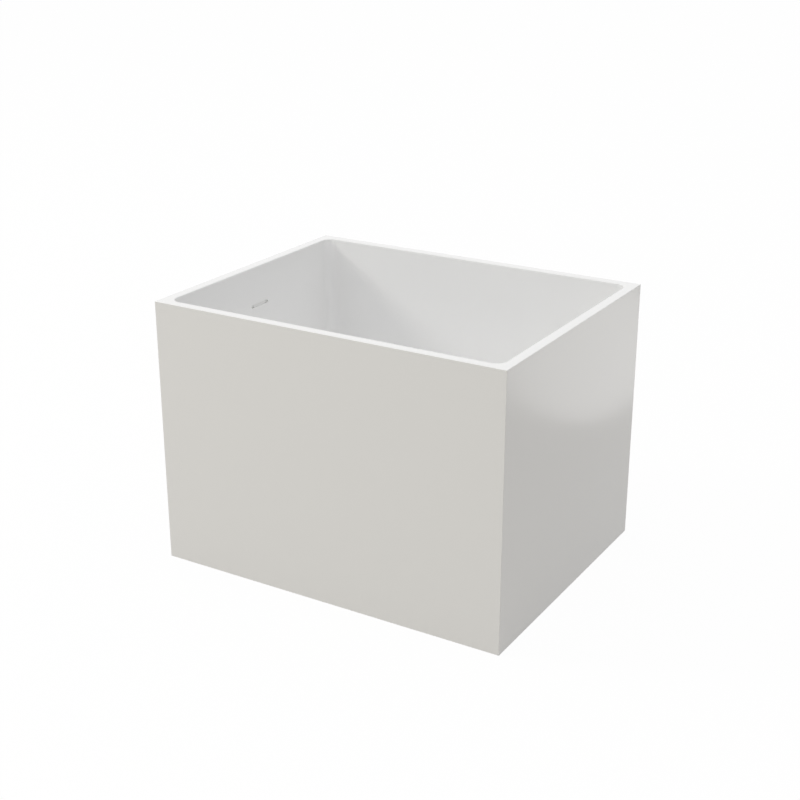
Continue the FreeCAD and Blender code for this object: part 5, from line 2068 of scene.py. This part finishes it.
@dataclass
class Studio:
    """White surroundings, a pale floor, a soft key light, a front fill, a side panel and the camera.

    The panel is seen only as its reflection in the right skirt, so it hangs where the
    skirt mirrors the camera's line of sight.
    """

    camera_place: Triple = (1.6103, -2.6955, 1.5978)
    camera_azimuth: float = 30.96
    camera_elevation: float = 21.17
    lens: float = 63.21
    sensor: float = 36.0
    sky_low: float = 0.13
    sky_high: float = 1.15
    key_azimuth: float = 203.0
    key_elevation: float = 32.0
    key_distance: float = 9.0
    key_target: Triple = (0.0, 0.0, 0.4)
    key_size: float = 1.9
    key_power: float = 173.0
    key_colour: Colour = (1.0, 0.985, 0.93)
    fill_place: Triple = (-0.3, -3.6, 0.5)
    fill_target: Triple = (0.0, 0.0, 0.3)
    fill_size: float = 1.3
    fill_power: float = 13.5
    fill_colour: Colour = (1.0, 0.975, 0.88)
    panel_place: Triple = (0.792, 0.768, 0.324)
    panel_size: float = 0.456
    panel_power: float = 0.40
    floor_size: float = 60.0
    floor_shown: Colour = (0.97, 0.97, 0.97)
    floor_bounce: Colour = (0.41, 0.387, 0.345)
    floor_roughness: float = 0.9
    floor_specular: float = 0.1
    floor_glow: float = 0.96
    white: Colour = (1.0, 1.0, 1.0)

    def build(self) -> None:
        """Set up camera, world, floor and lights."""
        self.camera()
        self.world()
        self.floor()
        target = Vector(self.key_target)
        place = target + heading(self.key_azimuth, self.key_elevation) * self.key_distance
        self.lamp("key", place, target, LampShape.SQUARE, self.key_size, self.key_power, self.key_colour)
        self.lamp("front_fill", Vector(self.fill_place), Vector(self.fill_target), LampShape.SQUARE,
                  self.fill_size, self.fill_power, self.fill_colour)
        mirrored = Vector(self.camera_place)
        mirrored.x = 2 * CAD_BOX[1].x - mirrored.x
        panel = self.lamp("side_panel", Vector(self.panel_place), mirrored, LampShape.DISK, self.panel_size,
                          self.panel_power, self.white)
        panel.visible_camera = panel.visible_diffuse = panel.visible_transmission = False
        bpy.context.scene.view_settings.view_transform = "Standard"

    def camera(self) -> None:
        """Camera at the photograph's place, looking along its azimuth and elevation."""
        back = heading(self.camera_azimuth - 90, self.camera_elevation)
        right = heading(self.camera_azimuth, 0)
        turn = Matrix((right, back.cross(right), back)).transposed().to_4x4()
        data = bpy.data.cameras.new("camera")
        data.lens, data.sensor_width = self.lens, self.sensor
        camera = bpy.data.objects.new("camera", data)
        camera.matrix_world = Matrix.Translation(self.camera_place) @ turn
        bpy.context.scene.collection.objects.link(camera)
        bpy.context.scene.camera = camera

    def world(self) -> None:
        """White all round to the eye, and a softer fill on the tub that grows towards the zenith."""
        world = bpy.data.worlds.new("surroundings")
        world.use_nodes = True
        nodes = Nodes(world.node_tree)
        shown = nodes.tree.nodes["Background"]
        nodes.feed(shown.inputs["Color"], self.white)
        nodes.feed(shown.inputs["Strength"], 1.0)
        rise = nodes.add("SeparateXYZ", {0: nodes.add("TexCoord").outputs["Generated"]}).outputs["Z"]
        strength = nodes.add("MapRange", {"Value": rise, "To Min": self.sky_low, "To Max": self.sky_high})
        fill = nodes.add("Background", {"Color": self.white, "Strength": strength.outputs[0]})
        nodes.show("World Output", nodes.seen_white(), fill.outputs[0], shown.outputs[0])
        bpy.context.scene.world = world

    def floor(self) -> None:
        """Wide pale floor that keeps a light shadow of the tub."""
        half = self.floor_size / 2
        mesh = bpy.data.meshes.new("floor")
        mesh.from_pydata([(-half, -half, 0), (half, -half, 0), (half, half, 0), (-half, half, 0)], [],
                         [(0, 1, 2, 3)])
        floor = bpy.data.objects.new("floor", mesh)
        bpy.context.scene.collection.objects.link(floor)
        material = bpy.data.materials.new("pale_floor")
        material.use_nodes = True
        nodes = Nodes(material.node_tree)
        matte, seen = nodes.tree.nodes["Principled BSDF"], nodes.seen_white()
        for name, value in (("Base Color", nodes.blend(seen, self.floor_bounce, self.floor_shown)),
                            ("Roughness", self.floor_roughness), ("Specular IOR Level", self.floor_specular)):
            nodes.feed(matte.inputs[name], value)
        glow = nodes.add("Emission", {"Strength": 1.0})
        nodes.show("Material Output", nodes.sums("MULTIPLY", seen, self.floor_glow), matte.outputs[0],
                   glow.outputs[0])
        mesh.materials.append(material)

    def lamp(self, name: str, place: Vector, target: Vector, shape: LampShape, size: float, power: float,
             colour: Colour) -> bpy.types.Object:
        """Hang an area lamp at a place, facing a point.

        Args:
            name: Name of the lamp.
            place: Its middle.
            target: The point that it faces.
            shape: Its outline.
            size: Its width.
            power: Its power in watts.
            colour: Colour of its light.

        Returns:
            The lamp.
        """
        data = bpy.data.lights.new(name, "AREA")
        data.shape, data.size, data.energy, data.color = shape.value, size, power, colour
        lamp = bpy.data.objects.new(name, data)
        aim = (target - place).to_track_quat("-Z", "Y").to_matrix().to_4x4()
        lamp.matrix_world = Matrix.Translation(place) @ aim
        bpy.context.scene.collection.objects.link(lamp)
        return lamp


def main() -> None:
    """Build the tub's pieces in order, dress the rest, and light the scene."""
    logging.basicConfig(level=logging.INFO, format="%(message)s")
    palette = Palette()
    form = BasinForm(CAD_BOX[1].x, CAD_BOX[1].y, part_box("basin_shell")[1].z)
    basin = Basin(form, palette.acrylic, palette.laminate)
    basin.build()
    OverflowCover(basin, palette.white_plastic).build()
    waste = (form.waste_x, 0.0, 0.0)
    Waste(waste, palette.chrome, palette.seal_rubber, palette.grey_plastic).build()
    Stopper(waste, palette.chrome, palette.seal_rubber, palette.grey_plastic).build()
    feet = [Foot(number, palette.foot_rubber, palette.zinc) for number in range(1, 5)]
    for foot in feet:
        foot.build()
    FootNuts(feet, palette.zinc).build()
    RailScrews(palette.zinc).build()
    OverflowHose(palette.hose_plastic, (palette.stainless_z, palette.stainless_x)).build()
    dress_nodes(palette)
    Studio().build()


if __name__ == "__main__":
    main()
